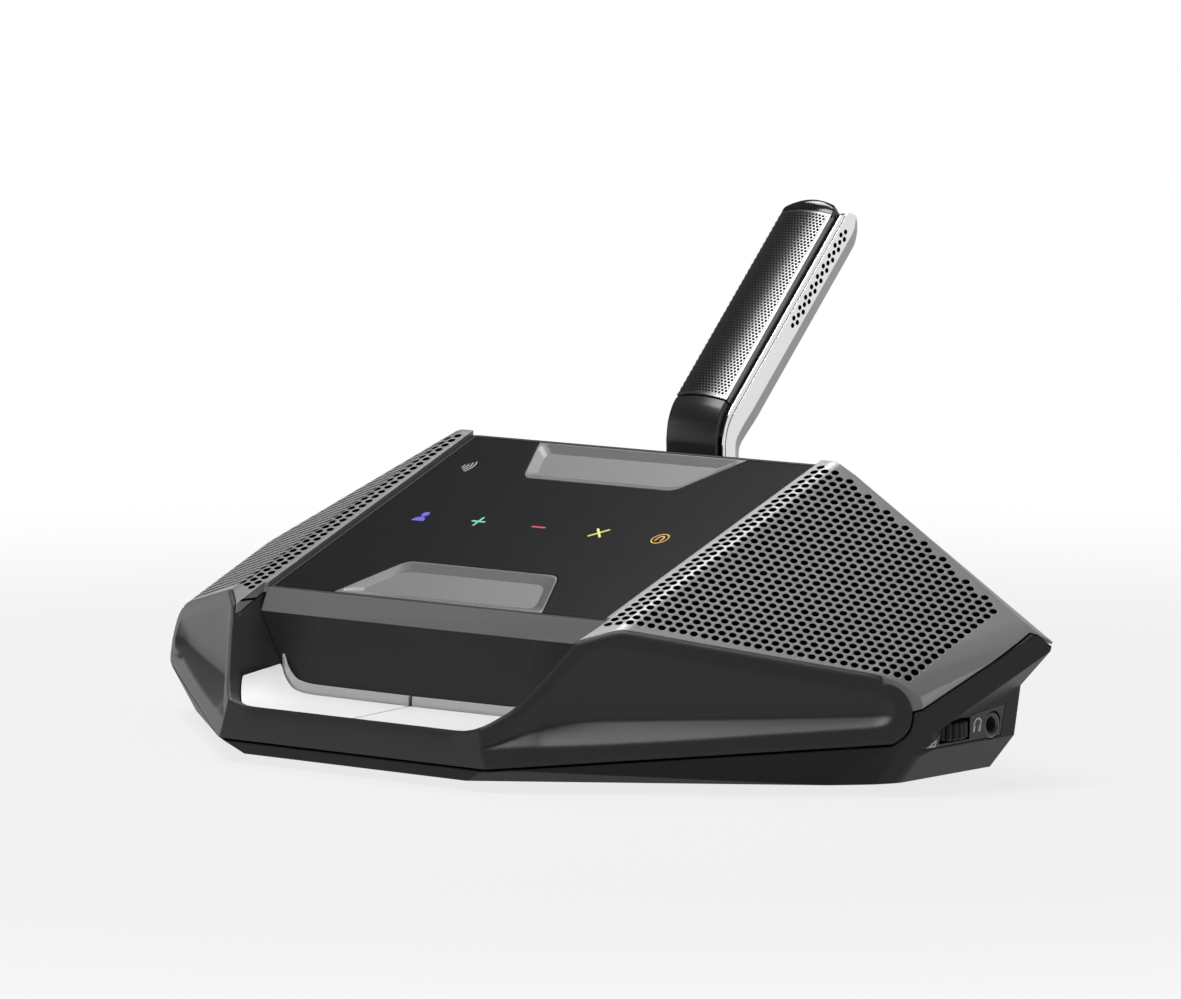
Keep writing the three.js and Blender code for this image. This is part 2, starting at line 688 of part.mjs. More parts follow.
function grilleShell() {
  const skin = cut(whole.intersect(aboveSideSeam(0)), insideShell, frontZone(bezelLip + gap),
    betweenGrilles(gap), recess);
  const half = skin.intersect(block([0, -farOut, -farOut], [farOut, farOut, farOut]));
  const [x, y] = screwPlaces.grille;
  const column = cut(rod(columnRadius, [x, y, floorTop + gap], [x, y, farOut], smallSides).intersect(whole),
    screwHoles([screwPlaces.grille], screwRadius + gap / 2, 0, longScrewTop + gap));
  return half.add(column).subtract(grilleHoles());
}

// Holes on the lattice places that lie well inside the grille's flat face
function grilleHoles() {
  const clearOf = (faces, spot, rim) => (
    faces.every(({ point, normal }) => point.clone().sub(spot).dot(normal) > rim));
  const counts = Array.from({ length: holeReach * 2 + 1 }, (unused, index) => index - holeReach);
  const places = counts.flatMap((across) => counts.map((back) => holeMiddle.map((value, axis) => (
    value + holeSteps[0][axis] * across + holeSteps[1][axis] * back))));
  const inside = places.filter((place) => {
    const spot = new THREE.Vector3(...onGrille(place, 0));
    return clearOf([wing, sidePlanes[sidePlanes.length - 1]], spot, holeRadius + holeRim)
      && clearOf([topPlane, ...sidePlanes.slice(1)], spot, 0);
  });
  return union(...inside.map((place) => (
    rod(holeRadius, onGrille(place, -gap), onGrille(place, shellWall + gap), holeSides))));
}

function panelCarrier() {
  const glassSpace = cut(block([-farOut, lipTop[0] + rimThickness, -farOut],
    [farOut, panelRear[0] + gap, farOut]), underPanel(glassThickness + gap / 2));
  const inside = behindRecess(deckWall).intersect(underPanel(glassThickness + deckThickness))
    .intersect(block([-farOut, -farOut, -farOut], [farOut, bodyDepth - shellWall, farOut]));
  const rearOpening = block([-farOut, bodyDepth - shellWall - overrun, -farOut],
    [farOut, farOut, rearWallFoot]);
  const body = whole.intersect(betweenGrilles(0)).intersect(behindRecess(0)).intersect(underPanel(0));
  return cut(body, glassSpace, inside, rearOpening, belowLevel(wellFloorTop + gap));
}

function slabUnderPanel(low, high, drop, thickness) {
  return block([...low, -farOut], [...high, farOut]).intersect(underPanel(drop))
    .subtract(underPanel(drop + thickness));
}

const frontPlaqueOutline = [
  [-plaqueWideHalf, lipTop[0] + rimThickness + gap], [plaqueWideHalf, lipTop[0] + rimThickness + gap],
  [plaqueNarrowHalf, lipTop[0] + plaqueLength], [-plaqueNarrowHalf, lipTop[0] + plaqueLength],
];
const rearPlaqueOutline = [
  [-plaqueNarrowHalf, panelRear[0] - plaqueLength], [plaqueNarrowHalf, panelRear[0] - plaqueLength],
  [plaqueWideHalf, panelRear[0]], [-plaqueWideHalf, panelRear[0]],
];

function touchPanel() {
  const slab = slabUnderPanel([-farOut, lipTop[0] + rimThickness + gap], [farOut, panelRear[0]], 0,
    glassThickness).intersect(betweenGrilles(0));
  const notches = [frontPlaqueOutline, rearPlaqueOutline].map((outline) => (
    prism('z', grown(outline, gap), 0, farOut)));
  return cut(slab, ...notches);
}

function plaque(outline) {
  const slab = slabUnderPanel([-farOut, 0], [farOut, farOut], 0, glassThickness)
    .intersect(prism('z', outline, 0, farOut));
  const tray = prism('z', grown(outline, -plaqueRim), 0, farOut).subtract(underPanel(plaqueDrop));
  return slab.subtract(tray);
}

function rearCover() {
  const form = rearForm(0, bodyDepth + gap);
  const shell = cut(form, rearForm(shellWall, 0), belowLevel(rearTrayTop + gap));
  const [halfX, halfY] = collarHalf;
  const collarFront = collarMiddleY - halfY;
  const collar = block([-halfX, collarFront, collarBottom], [halfX, collarMiddleY + halfY, collarTop]);
  const landing = block([-halfX - gap, collarFront - gap, collarTop], [halfX + gap, farOut, farOut]);
  const columns = screwHoles([screwPlaces.rear], columnRadius, floorTop + gap, farOut).intersect(form);
  const pocket = block([-socketHalf[0] - gap, collarMiddleY - socketHalf[1] - gap, socketFoot - gap],
    [socketHalf[0] + gap, collarMiddleY + socketHalf[1] + gap, farOut]);
  return cut(union(shell, columns, collar), landing, pocket,
    screwHoles([screwPlaces.rear], screwRadius + gap / 2, 0, longScrewTop + gap));
}

// The keys and what lies under them

function keyRing([x, frontY, frontZ, rearY, rearZ]) {
  return [[x, frontY, frontZ], [x, rearY, rearZ], [x, rearY, rearZ - keyThickness],
    [x, frontY, frontZ - keyThickness]];
}

function keyLightRing([x, , , rearY, rearZ]) {
  const near = rearY + gap;
  return [[x, near, rearZ + keyLightRise], [x, near + keyLightWidth, rearZ + keyLightRise],
    [x, near + keyLightWidth, rearZ - keyLightDrop], [x, near, rearZ - keyLightDrop]];
}

function alongKey(ringAt) {
  const rings = keyStations.map(ringAt);
  return loft(rings, rings[0].map(([, y, z]) => [y, z]));
}

const keyBoardTop = wellFloorTop + gap + boardThickness;

function keyDome() {
  const [x, y] = domePlace;
  const top = keyStations[0][2] - keyThickness - gap;
  return rod(domeRadius, [x, y, keyBoardTop + gap], [x, y, top], smallSides);
}

// The side controls

function volumeWheel() {
  const [x, y, z] = wheelCentre;
  const edge = Array.from({ length: wheelRibs * 2 }, (unused, index) => {
    const radius = wheelRadius - (index % 2) * wheelRibDepth;
    const angle = (index / wheelRibs) * Math.PI;
    return [x + radius * Math.cos(angle), y + radius * Math.sin(angle)];
  });
  const disc = prism('z', edge, z - wheelHeight / 2, z + wheelHeight / 2);
  return disc.subtract(rod(shaftRadius + runningFit, [x, y, 0], [x, y, farOut]));
}

function volumePot() {
  const [x, y, z] = wheelCentre;
  const low = z + wheelHeight / 2 + gap;
  const shaft = rod(shaftRadius, [x, y, z - wheelHeight / 2], [x, y, low + gap]);
  const back = block([controlBoard.x + boardThickness + gap, y - potRadius, low], [x, y + potRadius, potTop]);
  return union(rod(potRadius, [x, y, low], [x, y, potTop], smallSides), back, shaft);
}

function controlBoardBody() {
  const { x, low, high } = controlBoard;
  return cut(block([x, ...low], [x + boardThickness, ...high]), wheelSpace());
}

function sidePlate() {
  const plate = whole.intersect(prism('x', plateOutline, jackCentre[0] - jackLength, farOut))
    .intersect(beyond(wall, plateThickness));
  return cut(plate, wheelSpace(), jackSpace(gap));
}

function headphoneJack() {
  const [x, y, z] = jackCentre;
  const back = controlBoard.x + boardThickness + gap;
  const bodyFront = x - castWall - jackSetback;
  const box = block([back, y - jackHalf, z - jackHalf], [bodyFront, y + jackHalf, z + jackHalf]);
  const barrel = rod(jackRing, [bodyFront - gap, y, z], [x + jackProud, y, z]);
  return cut(box.add(barrel), rod(jackBore, [back + boardThickness, y, z], [x + overrun, y, z], smallSides));
}

// The loudspeaker under the grille, seated through its gasket

function onGrille(place, depth) {
  return new THREE.Vector3(...onFace(place, 0)).addScaledVector(grilleFace.normal, -depth).toArray();
}

const gasketTop = shellWall + gap;
const speakerTop = gasketTop + gasketThickness + gap;

function underGrille(depth) {
  return onGrille(speakerMiddle, depth);
}

function speakerGasket() {
  const low = underGrille(gasketTop + gasketThickness);
  const ring = rod(speakerRadius + gasketWidth / 2, underGrille(gasketTop), low);
  return ring.subtract(rod(speakerRadius - gasketWidth, underGrille(0), underGrille(speakerTop)));
}

function speakerFrame() {
  const cup = rod(speakerRadius, underGrille(speakerTop), underGrille(speakerTop + speakerDepth));
  const mouth = rod(speakerRadius - gasketWidth, underGrille(0), underGrille(speakerTop + gasketWidth));
  return cup.subtract(mouth);
}

function speakerMagnet() {
  const low = speakerTop + speakerDepth + gap;
  return rod(magnetRadius, underGrille(low), underGrille(low + magnetDepth));
}

// The microphone: sections across it are carried from station to station up its side view

function micRing(section, [frontPoint, rearPoint]) {
  return section.map(([x, depth]) => {
    const share = depth / micDepth;
    return [x, ...frontPoint.map((value, axis) => value + (rearPoint[axis] - value) * share)];
  });
}

function micBody(section, stations) {
  return loft(stations.map((station) => micRing(section, station)), section);
}

function micBetween(from, to, share) {
  return from.map((point, index) => point.map((value, axis) => value + (to[index][axis] - value) * share));
}

function micFrame() {
  const outer = [[micHalf, 0], [micHalf, micBevel], [micBackHalf, micDepth], [-micBackHalf, micDepth],
    [-micHalf, micBevel], [-micHalf, 0]];
  const innerHalf = micHalf - micWall;
  const inner = [[-innerHalf, 0], [-innerHalf, micBevel], [-micInner, micDepth - micWall],
    [micInner, micDepth - micWall], [innerHalf, micBevel], [innerHalf, 0]];
  return micBody([...outer, ...inner], micStations);
}

function crown(inset) {
  return Array.from({ length: crownSteps + 1 }, (unused, index) => {
    const share = (index / crownSteps) * 2 - 1;
    return [frontHalf * share, frontNear + inset - frontCrown * (1 - share * share)];
  });
}

// The back of what fits inside the frame, clear of its bevelled corners
function micBack(depth) {
  const start = micBevel - gap;
  return [[frontHalf, start], [micInner - gap, depth], [gap - micInner, depth], [-frontHalf, start]];
}

const micKnee = micStations[3];
const [micLow, micHigh, ...micTop] = micStations.slice(4);

function micCover() {
  const section = [...crown(0), [frontHalf, frontBack], [-frontHalf, frontBack]];
  return micBody(section, [...micStations.slice(0, 4), micBetween(micKnee, micLow, coverTopShare)]);
}

function micMesh() {
  const section = [...crown(0), ...crown(meshWall).reverse()];
  return micBody(section, [micBetween(micKnee, micLow, meshFootShare), micLow, micHigh]);
}

function micCap() {
  const section = [...crown(0), ...micBack(capBack)];
  return micBody(section, [micBetween(micHigh, micTop[0], capFootShare), ...micTop]);
}

function micPlug() {
  const [near, far] = micFootDepths;
  const section = [[-frontHalf, near], [frontHalf, near], ...micBack(far)];
  const share = (micFootTop - micStations[0][0][1]) / (micStations[1][0][1] - micStations[0][0][1]);
  const foot = micBody(section, [micStations[0], micBetween(micStations[0], micStations[1], share)]);
  const [halfX, halfY] = plugHalf;
  return foot.add(block([-halfX, collarMiddleY - halfY, plugFoot],
    [halfX, collarMiddleY + halfY, micFootTop]));
}

function micBoard() {
  const [near, far] = micBoardDepths;
  return micBody([[-micBoardHalf, near], [micBoardHalf, near], [micBoardHalf, far], [-micBoardHalf, far]],
    [micBetween(micKnee, micLow, meshFootShare), micLow, micBetween(micLow, micHigh, micBoardTopShare)]);
}

function micCapsule([from, to]) {
  const section = Array.from({ length: capsuleSides }, (unused, index) => {
    const angle = (index / capsuleSides) * Math.PI * 2;
    return [capsuleRadius * Math.cos(angle), capsuleDepth + capsuleRadius * Math.sin(angle)];
  });
  return micBody(section, [from, to].map((share) => micBetween(micLow, micHigh, share)));
}

function micSocket() {
  const space = (half, clearance, low) => block(
    [-half[0] - clearance, collarMiddleY - half[1] - clearance, low],
    [half[0] + clearance, collarMiddleY + half[1] + clearance, collarTop - gap]);
  return space(socketHalf, 0, socketFoot).subtract(space(plugHalf, gap, plugFoot - gap));
}

function networkSocket() {
  const low = [networkPitch - networkHalf, socketRear - networkLength, socketLow];
  const high = [networkPitch + networkHalf, socketRear, socketLow + networkHeight];
  return block(low, high).subtract(mouthSpace(0));
}

function screw([x, y], top) {
  const low = baseBottom + gap;
  return rod(screwHeadRadius, [x, y, low], [x, y, low + screwHeadHeight], smallSides)
    .add(rod(screwRadius, [x, y, low], [x, y, top], smallSides));
}

function foot([x, y]) {
  return rod(footRadius, [x, y, 0], [x, y, footThickness]);
}

add('base_casting', baseCasting(), finish.casting);
add('front_bezel', frontBezel(), finish.bezel);
addPair('grille', grilleShell(), finish.grille);
add('panel_carrier', panelCarrier(), finish.deck);
add('touch_panel', touchPanel(), finish.glass);
add('front_plaque', plaque(frontPlaqueOutline), finish.plaque);
add('rear_plaque', plaque(rearPlaqueOutline), finish.plaque);
add('rear_cover', rearCover(), finish.casting);
addPair('key', alongKey(keyRing), finish.key);
addPair('key_light', alongKey(keyLightRing), finish.light);
add('key_board', block([...keyBoard.low, wellFloorTop + gap], [...keyBoard.high, keyBoardTop]), finish.board);
addPair('key_dome', keyDome(), finish.rubber);
addPair('volume_wheel', volumeWheel(), finish.dark);
addPair('volume_pot', volumePot(), finish.dark);
addPair('headphone_jack', headphoneJack(), finish.dark);
addPair('side_plate', sidePlate(), finish.light);
addPair('control_board', controlBoardBody(), finish.board);
addPair('speaker_gasket', speakerGasket(), finish.rubber);
addPair('speaker', speakerFrame(), finish.dark);
addPair('speaker_magnet', speakerMagnet(), finish.steel);
add('main_board', prism('z', boardOutline, boardLow, boardTop), finish.board);
addPair('network_socket', networkSocket(), finish.steel);
const [touchFront, touchRear, antennaFront, antennaRear] = Object.values(underPanelShares).map((share) => (
  lipTop[0] + (panelRear[0] - lipTop[0]) * share));
const antennaLow = antenna.sideInset - panelFrontHalf;
add('touch_board', slabUnderPanel([-touchBoard.half, touchFront], [touchBoard.half, touchRear],
  glassThickness + deckThickness + gap, touchBoard.thickness), finish.board);
add('card_antenna', slabUnderPanel([antennaLow, antennaFront], [antennaLow + antenna.width, antennaRear],
  glassThickness + deckThickness + gap, antenna.thickness), finish.board);
add('microphone_socket', micSocket(), finish.dark);
add('microphone_frame', micFrame(), finish.chrome);
add('microphone_cover', micCover(), finish.bezel);
add('microphone_mesh', micMesh(), finish.mesh);
add('microphone_cap', micCap(), finish.gloss);
add('microphone_plug', micPlug(), finish.dark);
add('microphone_board', micBoard(), finish.board);
capsuleShares.forEach((shares, index) => {
  add(`microphone_capsule_${index + 1}`, micCapsule(shares), finish.steel);
});
footPlaces.forEach((place, index) => addPair(`foot_${index ? 'rear' : 'front'}`, foot(place), finish.rubber));
Object.entries(screwPlaces).forEach(([name, place]) => {
  addPair(`screw_${name}`, screw(place, name === 'bezel' ? shortScrewTop : longScrewTop), finish.steel);
});

// The origin lies on the table under the middle of the whole unit, the microphone included
const overall = new THREE.Box3().setFromObject(parts);
parts.position.y = -(overall.min.y + overall.max.y) / 2;

export default unit;
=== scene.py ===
import bpy
import bmesh
import json
import math
import numpy as np
from mathutils import Matrix, Vector


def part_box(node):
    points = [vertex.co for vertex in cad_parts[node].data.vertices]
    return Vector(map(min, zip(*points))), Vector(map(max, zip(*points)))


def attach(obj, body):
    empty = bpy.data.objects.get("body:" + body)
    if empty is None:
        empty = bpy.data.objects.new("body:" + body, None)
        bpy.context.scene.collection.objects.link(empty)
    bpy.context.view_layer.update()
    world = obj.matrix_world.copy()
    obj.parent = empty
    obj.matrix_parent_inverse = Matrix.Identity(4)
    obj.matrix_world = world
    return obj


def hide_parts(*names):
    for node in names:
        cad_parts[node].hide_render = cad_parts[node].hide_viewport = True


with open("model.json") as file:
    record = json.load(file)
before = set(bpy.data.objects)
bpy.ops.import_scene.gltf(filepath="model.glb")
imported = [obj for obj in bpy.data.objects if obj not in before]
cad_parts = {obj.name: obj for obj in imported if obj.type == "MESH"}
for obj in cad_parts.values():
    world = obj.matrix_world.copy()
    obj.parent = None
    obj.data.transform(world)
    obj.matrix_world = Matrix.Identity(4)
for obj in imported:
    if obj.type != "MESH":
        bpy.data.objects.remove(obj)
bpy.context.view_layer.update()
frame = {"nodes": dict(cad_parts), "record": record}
nodes = frame["nodes"]

# Shapes are worked out in millimetres from the middle of the front edge, then moved and scaled once
metres = 0.001
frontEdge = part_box("front_bezel")[0].y
print("stage: frame loaded")


def meshOf(points, faces):
    mesh = bpy.data.meshes.new("shape")
    mesh.from_pydata([tuple(map(float, p)) for p in points], [], [tuple(f) for f in faces])
    return mesh


# Merges double points and turns every face outwards
def facedOut(mesh):
    bm = bmesh.new()
    bm.from_mesh(mesh)
    bmesh.ops.remove_doubles(bm, verts=bm.verts, dist=1e-5)
    bmesh.ops.recalc_face_normals(bm, faces=bm.faces)
    bm.to_mesh(mesh)
    bm.free()
    return mesh


# Rows of points, one ring after the other, joined by strips and closed at both ends
def loft(rings, closed=True):
    rings = np.asarray(rings, float)
    count, around = rings.shape[:2]
    index = np.arange(count * around).reshape(count, around)
    nextAround = np.roll(index, -1, axis=1)
    strips = np.stack([index[:-1], nextAround[:-1], nextAround[1:], index[1:]], axis=-1).reshape(-1, 4)
    faces = strips.tolist()
    if closed:
        faces += [index[0][::-1].tolist(), index[-1].tolist()]
    return facedOut(meshOf(rings.reshape(-1, 3), faces))


# A flat outline carried straight from low to high along one axis
def prism(axis, outline, low, high):
    flat = np.asarray(outline, float)
    rings = np.zeros((2, len(flat), 3))
    others = [i for i in range(3) if i != "xyz".index(axis)]
    rings[:, :, others[0]] = flat[:, 0]
    rings[:, :, others[1]] = flat[:, 1]
    rings[0, :, "xyz".index(axis)] = low
    rings[1, :, "xyz".index(axis)] = high
    return loft(rings)


def block(low, high):
    return prism("z", [(low[0], low[1]), (high[0], low[1]), (high[0], high[1]), (low[0], high[1])],
                 low[2], high[2])


# Circle of the given radius carried from start to end, with two directions square to the axis
def rod(radius, start, end, sides=32, endRadius=None):
    start, end = np.asarray(start, float), np.asarray(end, float)
    along = (end - start) / np.linalg.norm(end - start)
    side = np.cross(along, [0, 0, 1] if abs(along[2]) < 0.9 else [0, 1, 0])
    side /= np.linalg.norm(side)
    other = np.cross(along, side)
    turn = np.arange(sides) * 2 * np.pi / sides
    ring = np.cos(turn)[:, None] * side + np.sin(turn)[:, None] * other
    return loft([start + ring * radius, end + ring * (endRadius or radius)])


# The same shape on the other side of the middle plane
def mirrored(mesh):
    other = mesh.copy()
    other.transform(Matrix.Scale(-1, 4, (1, 0, 0)))
    other.flip_normals()
    return other


# One boolean pass after another on a temporary object, read back as a plain mesh
def combine(kind, base, tools):
    scene = bpy.context.scene
    host = bpy.data.objects.new("host", base)
    scene.collection.objects.link(host)
    helpers = []
    for tool in tools:
        helper = bpy.data.objects.new("helper", tool)
        scene.collection.objects.link(helper)
        helpers.append(helper)
        step = host.modifiers.new("step", "BOOLEAN")
        step.operation, step.solver, step.object = kind, "MANIFOLD", helper
    depsgraph = bpy.context.evaluated_depsgraph_get()
    made = bpy.data.meshes.new_from_object(host.evaluated_get(depsgraph))
    for item in [host, *helpers]:
        bpy.data.objects.remove(item)
    return made


def cut(base, *tools):
    return combine("DIFFERENCE", base, tools)


def join(base, *tools):
    return combine("UNION", base, tools)


def meet(base, *tools):
    return combine("INTERSECT", base, tools)


def both(mesh):
    return join(mesh, mirrored(mesh))


far = 300.0  # beyond the unit on every side
overhead = 60  # above the housing's front
bodyMiddle = np.array([0, 51.75, 18.8])  # a point inside the body


# A plane through three points as its outward direction and its distance from the origin
def plane(a, b, c):
    a, b, c = (np.asarray(p, float) for p in (a, b, c))
    normal = np.cross(b - a, c - a)
    normal /= np.linalg.norm(normal)
    if normal @ (bodyMiddle - a) > 0:
        normal = -normal
    return normal, normal @ a


# A plane moved inwards, against its direction
def moved(face, inset):
    return face[0], face[1] - inset


def mirroredPlane(face):
    return face[0] * np.array([-1, 1, 1]), face[1]


# Planes that touch a round of the given radius along the edge where two planes meet
def rounded(first, second, radius, steps=7):
    (a, ka), (b, kb) = first, second
    middle = np.linalg.lstsq(np.array([a, b]), np.array([ka - radius, kb - radius]), rcond=None)[0]
    angle = math.acos(np.clip(a @ b, -1, 1))
    shares = (np.arange(steps) + 1) / (steps + 1)
    faces = []
    for share in shares:
        normal = (math.sin((1 - share) * angle) * a + math.sin(share * angle) * b) / math.sin(angle)
        faces.append((normal, normal @ middle + radius))
    return faces


# The body inside every plane: a large cube cut by each plane in turn, and closed again
def within(faces, size=far):
    bm = bmesh.new()
    bmesh.ops.create_cube(bm, size=2 * size)
    for normal, distance in faces:
        found = bmesh.ops.bisect_plane(bm, geom=bm.verts[:] + bm.edges[:] + bm.faces[:], dist=1e-5,
                                       plane_co=normal * distance, plane_no=normal, clear_outer=True)
        rim = [e for e in found["geom_cut"] if isinstance(e, bmesh.types.BMEdge) and e.is_boundary]
        if rim:
            bmesh.ops.holes_fill(bm, edges=rim, sides=0)
    bmesh.ops.recalc_face_normals(bm, faces=bm.faces)
    mesh = bpy.data.meshes.new("within")
    bm.to_mesh(mesh)
    bm.free()
    return mesh


# Everything outside a plane that is first moved inwards
def beyond(face, inset=0.0, size=far):
    normal, distance = moved(face, inset)
    return within([(-normal, -distance)], size * 1.5)


# A smooth line through given points, as many points as asked for
def smoothLine(points, count):
    points = np.asarray(points, float)
    ends = np.vstack([2 * points[0] - points[1], points, 2 * points[-1] - points[-2]])
    place = np.linspace(0, len(points) - 1 - 1e-9, count)
    index = place.astype(int)
    share = (place - index)[:, None]
    p0, p1, p2, p3 = (ends[index + k] for k in range(4))
    return 0.5 * (2 * p1 + (p2 - p0) * share + (2 * p0 - 5 * p1 + 4 * p2 - p3) * share ** 2
                  + (3 * p1 - p0 - 3 * p2 + p3) * share ** 3)


mergeWithin = 2e-4


# Merges, rounds sharp edges, shades smooth within the angle, and moves the piece to its place. Each
# further material in also goes to the faces that its function picks by middle and direction
def piece(name, mesh, body, slotName, material, stands=(), bevel=0.3, angle=28, segments=2, flatten=0.4,
          smooth=35, also=(), side=1):
    bm = bmesh.new()
    bm.from_mesh(mesh)
    bmesh.ops.remove_doubles(bm, verts=bm.verts, dist=mergeWithin)
    if flatten:
        bmesh.ops.dissolve_limit(bm, angle_limit=math.radians(flatten), verts=bm.verts, edges=bm.edges)
        bmesh.ops.dissolve_degenerate(bm, edges=bm.edges, dist=mergeWithin)
    bm.to_mesh(mesh)
    bm.free()
    obj = bpy.data.objects.new("work", mesh)
    bpy.context.scene.collection.objects.link(obj)
    if bevel:
        edge = obj.modifiers.new("edges", "BEVEL")
        edge.width, edge.segments, edge.angle_limit = bevel, segments, math.radians(angle)
        edge.limit_method, edge.miter_outer = "ANGLE", "MITER_ARC"
    depsgraph = bpy.context.evaluated_depsgraph_get()
    made = bpy.data.meshes.new_from_object(obj.evaluated_get(depsgraph))
    bpy.data.objects.remove(obj)
    made.polygons.foreach_set("use_smooth", np.ones(len(made.polygons), bool))
    made.set_sharp_from_angle(angle=math.radians(smooth))
    obj = bpy.data.objects.new("work", made)
    bpy.context.scene.collection.objects.link(obj)
    even = obj.modifiers.new("normals", "WEIGHTED_NORMAL")
    even.keep_sharp, even.weight = True, 100
    made = bpy.data.meshes.new_from_object(obj.evaluated_get(bpy.context.evaluated_depsgraph_get()))
    bpy.data.objects.remove(obj)
    made.materials.clear()
    made.materials.append(material)
    index = np.zeros(len(made.polygons), np.int32)
    for number, (extra, chosen) in enumerate(also):
        centre, normal = np.empty((len(index), 3)), np.empty((len(index), 3))
        made.polygons.foreach_get("center", centre.ravel())
        made.polygons.foreach_get("normal", normal.ravel())
        index[chosen(centre * (side, 1, 1), normal * (side, 1, 1))] = number + 1
        made.materials.append(extra)
    made.polygons.foreach_set("material_index", index)
    made.transform(Matrix.Scale(metres, 4) @ Matrix.Translation((0, frontEdge / metres, 0)))
    made.name = name
    obj = bpy.data.objects.new(name, made)
    bpy.context.scene.collection.objects.link(obj)
    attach(obj, body)
    if stands:
        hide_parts(*stands)
    return obj


def piecePair(name, mesh, body, slotName, material, stands=(), **more):
    for side, shape, sign in (("right", mesh, 1), ("left", mirrored(mesh), -1)):
        piece(f"{name}_{side}", shape, body.replace("SIDE", side), slotName, material,
              [f"{node}_{side}" for node in stands], side=sign, **more)


texture = {"fineDetail": 3, "broadScale": 38, "broadDetail": 4, "bumpDistance": 0.0001, "edgeSamples": 6,
           "leastRoughness": 0.02}


# A shader with fine noise bump, colour variation and roughness variation on object coordinates. Brushed
# stretches the fine noise along an axis, and edgeRound shades sharp edges round over so many millimetres
def finish(name, color, roughness, metallic=0.0, grain=2500.0, bump=0.05, variation=0.06,
           roughVariation=0.06, brushed=None, specular=0.3, edgeRound=0.0):
    material = bpy.data.materials.new(name)
    material.use_nodes = True
    tree = material.node_tree
    shader = tree.nodes["Principled BSDF"]
    place = tree.nodes.new("ShaderNodeTexCoord")
    scale = tree.nodes.new("ShaderNodeMapping")
    scale.inputs["Scale"].default_value = brushed or (1, 1, 1)
    tree.links.new(place.outputs["Object"], scale.inputs["Vector"])
    fine = tree.nodes.new("ShaderNodeTexNoise")
    fine.inputs["Scale"].default_value = grain
    fine.inputs["Detail"].default_value = texture["fineDetail"]
    broad = tree.nodes.new("ShaderNodeTexNoise")
    broad.inputs["Scale"].default_value = texture["broadScale"]
    broad.inputs["Detail"].default_value = texture["broadDetail"]
    tree.links.new(scale.outputs["Vector"], fine.inputs["Vector"])
    tree.links.new(place.outputs["Object"], broad.inputs["Vector"])
    tone = tree.nodes.new("ShaderNodeMix")
    tone.data_type = "RGBA"
    tone.inputs["A"].default_value = (*[c * (1 - variation) for c in color], 1)
    tone.inputs["B"].default_value = (*[min(c * (1 + variation), 1) for c in color], 1)
    tree.links.new(broad.outputs["Fac"], tone.inputs["Factor"])
    tree.links.new(tone.outputs["Result"], shader.inputs["Base Color"])
    rough = tree.nodes.new("ShaderNodeMapRange")
    rough.inputs["To Min"].default_value = max(roughness - roughVariation, texture["leastRoughness"])
    rough.inputs["To Max"].default_value = min(roughness + roughVariation, 1)
    tree.links.new(fine.outputs["Fac"], rough.inputs["Value"])
    tree.links.new(rough.outputs["Result"], shader.inputs["Roughness"])
    relief = tree.nodes.new("ShaderNodeBump")
    relief.inputs["Strength"].default_value = bump
    relief.inputs["Distance"].default_value = texture["bumpDistance"]
    tree.links.new(fine.outputs["Fac"], relief.inputs["Height"])
    if edgeRound:
        soft = tree.nodes.new("ShaderNodeBevel")
        soft.samples = texture["edgeSamples"]
        soft.inputs["Radius"].default_value = edgeRound * metres
        tree.links.new(soft.outputs["Normal"], relief.inputs["Normal"])
    tree.links.new(relief.outputs["Normal"], shader.inputs["Normal"])
    shader.inputs["Metallic"].default_value = metallic
    shader.inputs["Specular IOR Level"].default_value = specular
    return material


# Colour, roughness, metallic, grain, bump and colour variation stand in this order
castPaint = finish("castPaint", (0.017, 0.017, 0.0175), 0.44, 0.0, 3200, 0.16, 0.1, specular=0.16,
                   edgeRound=0.7)
darkPlastic = finish("darkPlastic", (0.027, 0.027, 0.028), 0.42, 0.0, 3600, 0.12, 0.08, specular=0.34,
                     edgeRound=1.5)
grillePaint = finish("grillePaint", (0.25, 0.25, 0.252), 0.33, 0.35, 3600, 0.10, edgeRound=0.35)
lipPlastic = finish("lipPlastic", (0.17, 0.17, 0.172), 0.38, 0.0, 3600, 0.12, specular=0.2, edgeRound=0.5)
# Darker copy of the carrier's grey plastic: painted shade on the wall under the lip and in the slits beside
# the glass
recessShadePlastic = finish("recessShadePlastic", (0.034, 0.034, 0.0345), 0.42, 0.0, 3600, 0.14, 0.08, specular=0.08)
panelGlass = finish("panelGlass", (0.013, 0.013, 0.0135), 0.20, 0.0, 5200, 0.02, 0.08, roughVariation=0.03,
                    specular=0.04)
plaqueSatin = finish("plaqueSatin", (0.155, 0.155, 0.158), 0.36, 0.3, 1800, 0.05, brushed=(0.08, 1, 1),
                     specular=0.2)
keyPlastic = finish("keyPlastic", (0.80, 0.80, 0.80), 0.34, 0.0, 3000, 0.03, 0.02)
keyLightPlastic = finish("keyLightPlastic", (0.50, 0.505, 0.51), 0.3, 0.1, 3000, 0.03, 0.02)
blackPlastic = finish("blackPlastic", (0.012, 0.012, 0.012), 0.45, 0.0, 3200, 0.12, specular=0.15)
wheelPlastic = finish("wheelPlastic", (0.02, 0.02, 0.0205), 0.42, 0.0, 3200, 0.12, specular=0.15)
socketPlastic = finish("socketPlastic", (0.11, 0.11, 0.112), 0.30, 0.3, 3200, 0.08)
platePlastic = finish("platePlastic", (0.07, 0.07, 0.072), 0.36, 0.1, 3600, 0.1, specular=0.15)
satinChrome = finish("satinChrome", (0.80, 0.80, 0.805), 0.20, 0.9, 1600, 0.03, 0.03,
                     brushed=(1, 0.1, 0.1))
brightChrome = finish("brightChrome", (0.80, 0.80, 0.81), 0.10, 1.0, 1600, 0.01, 0.02)
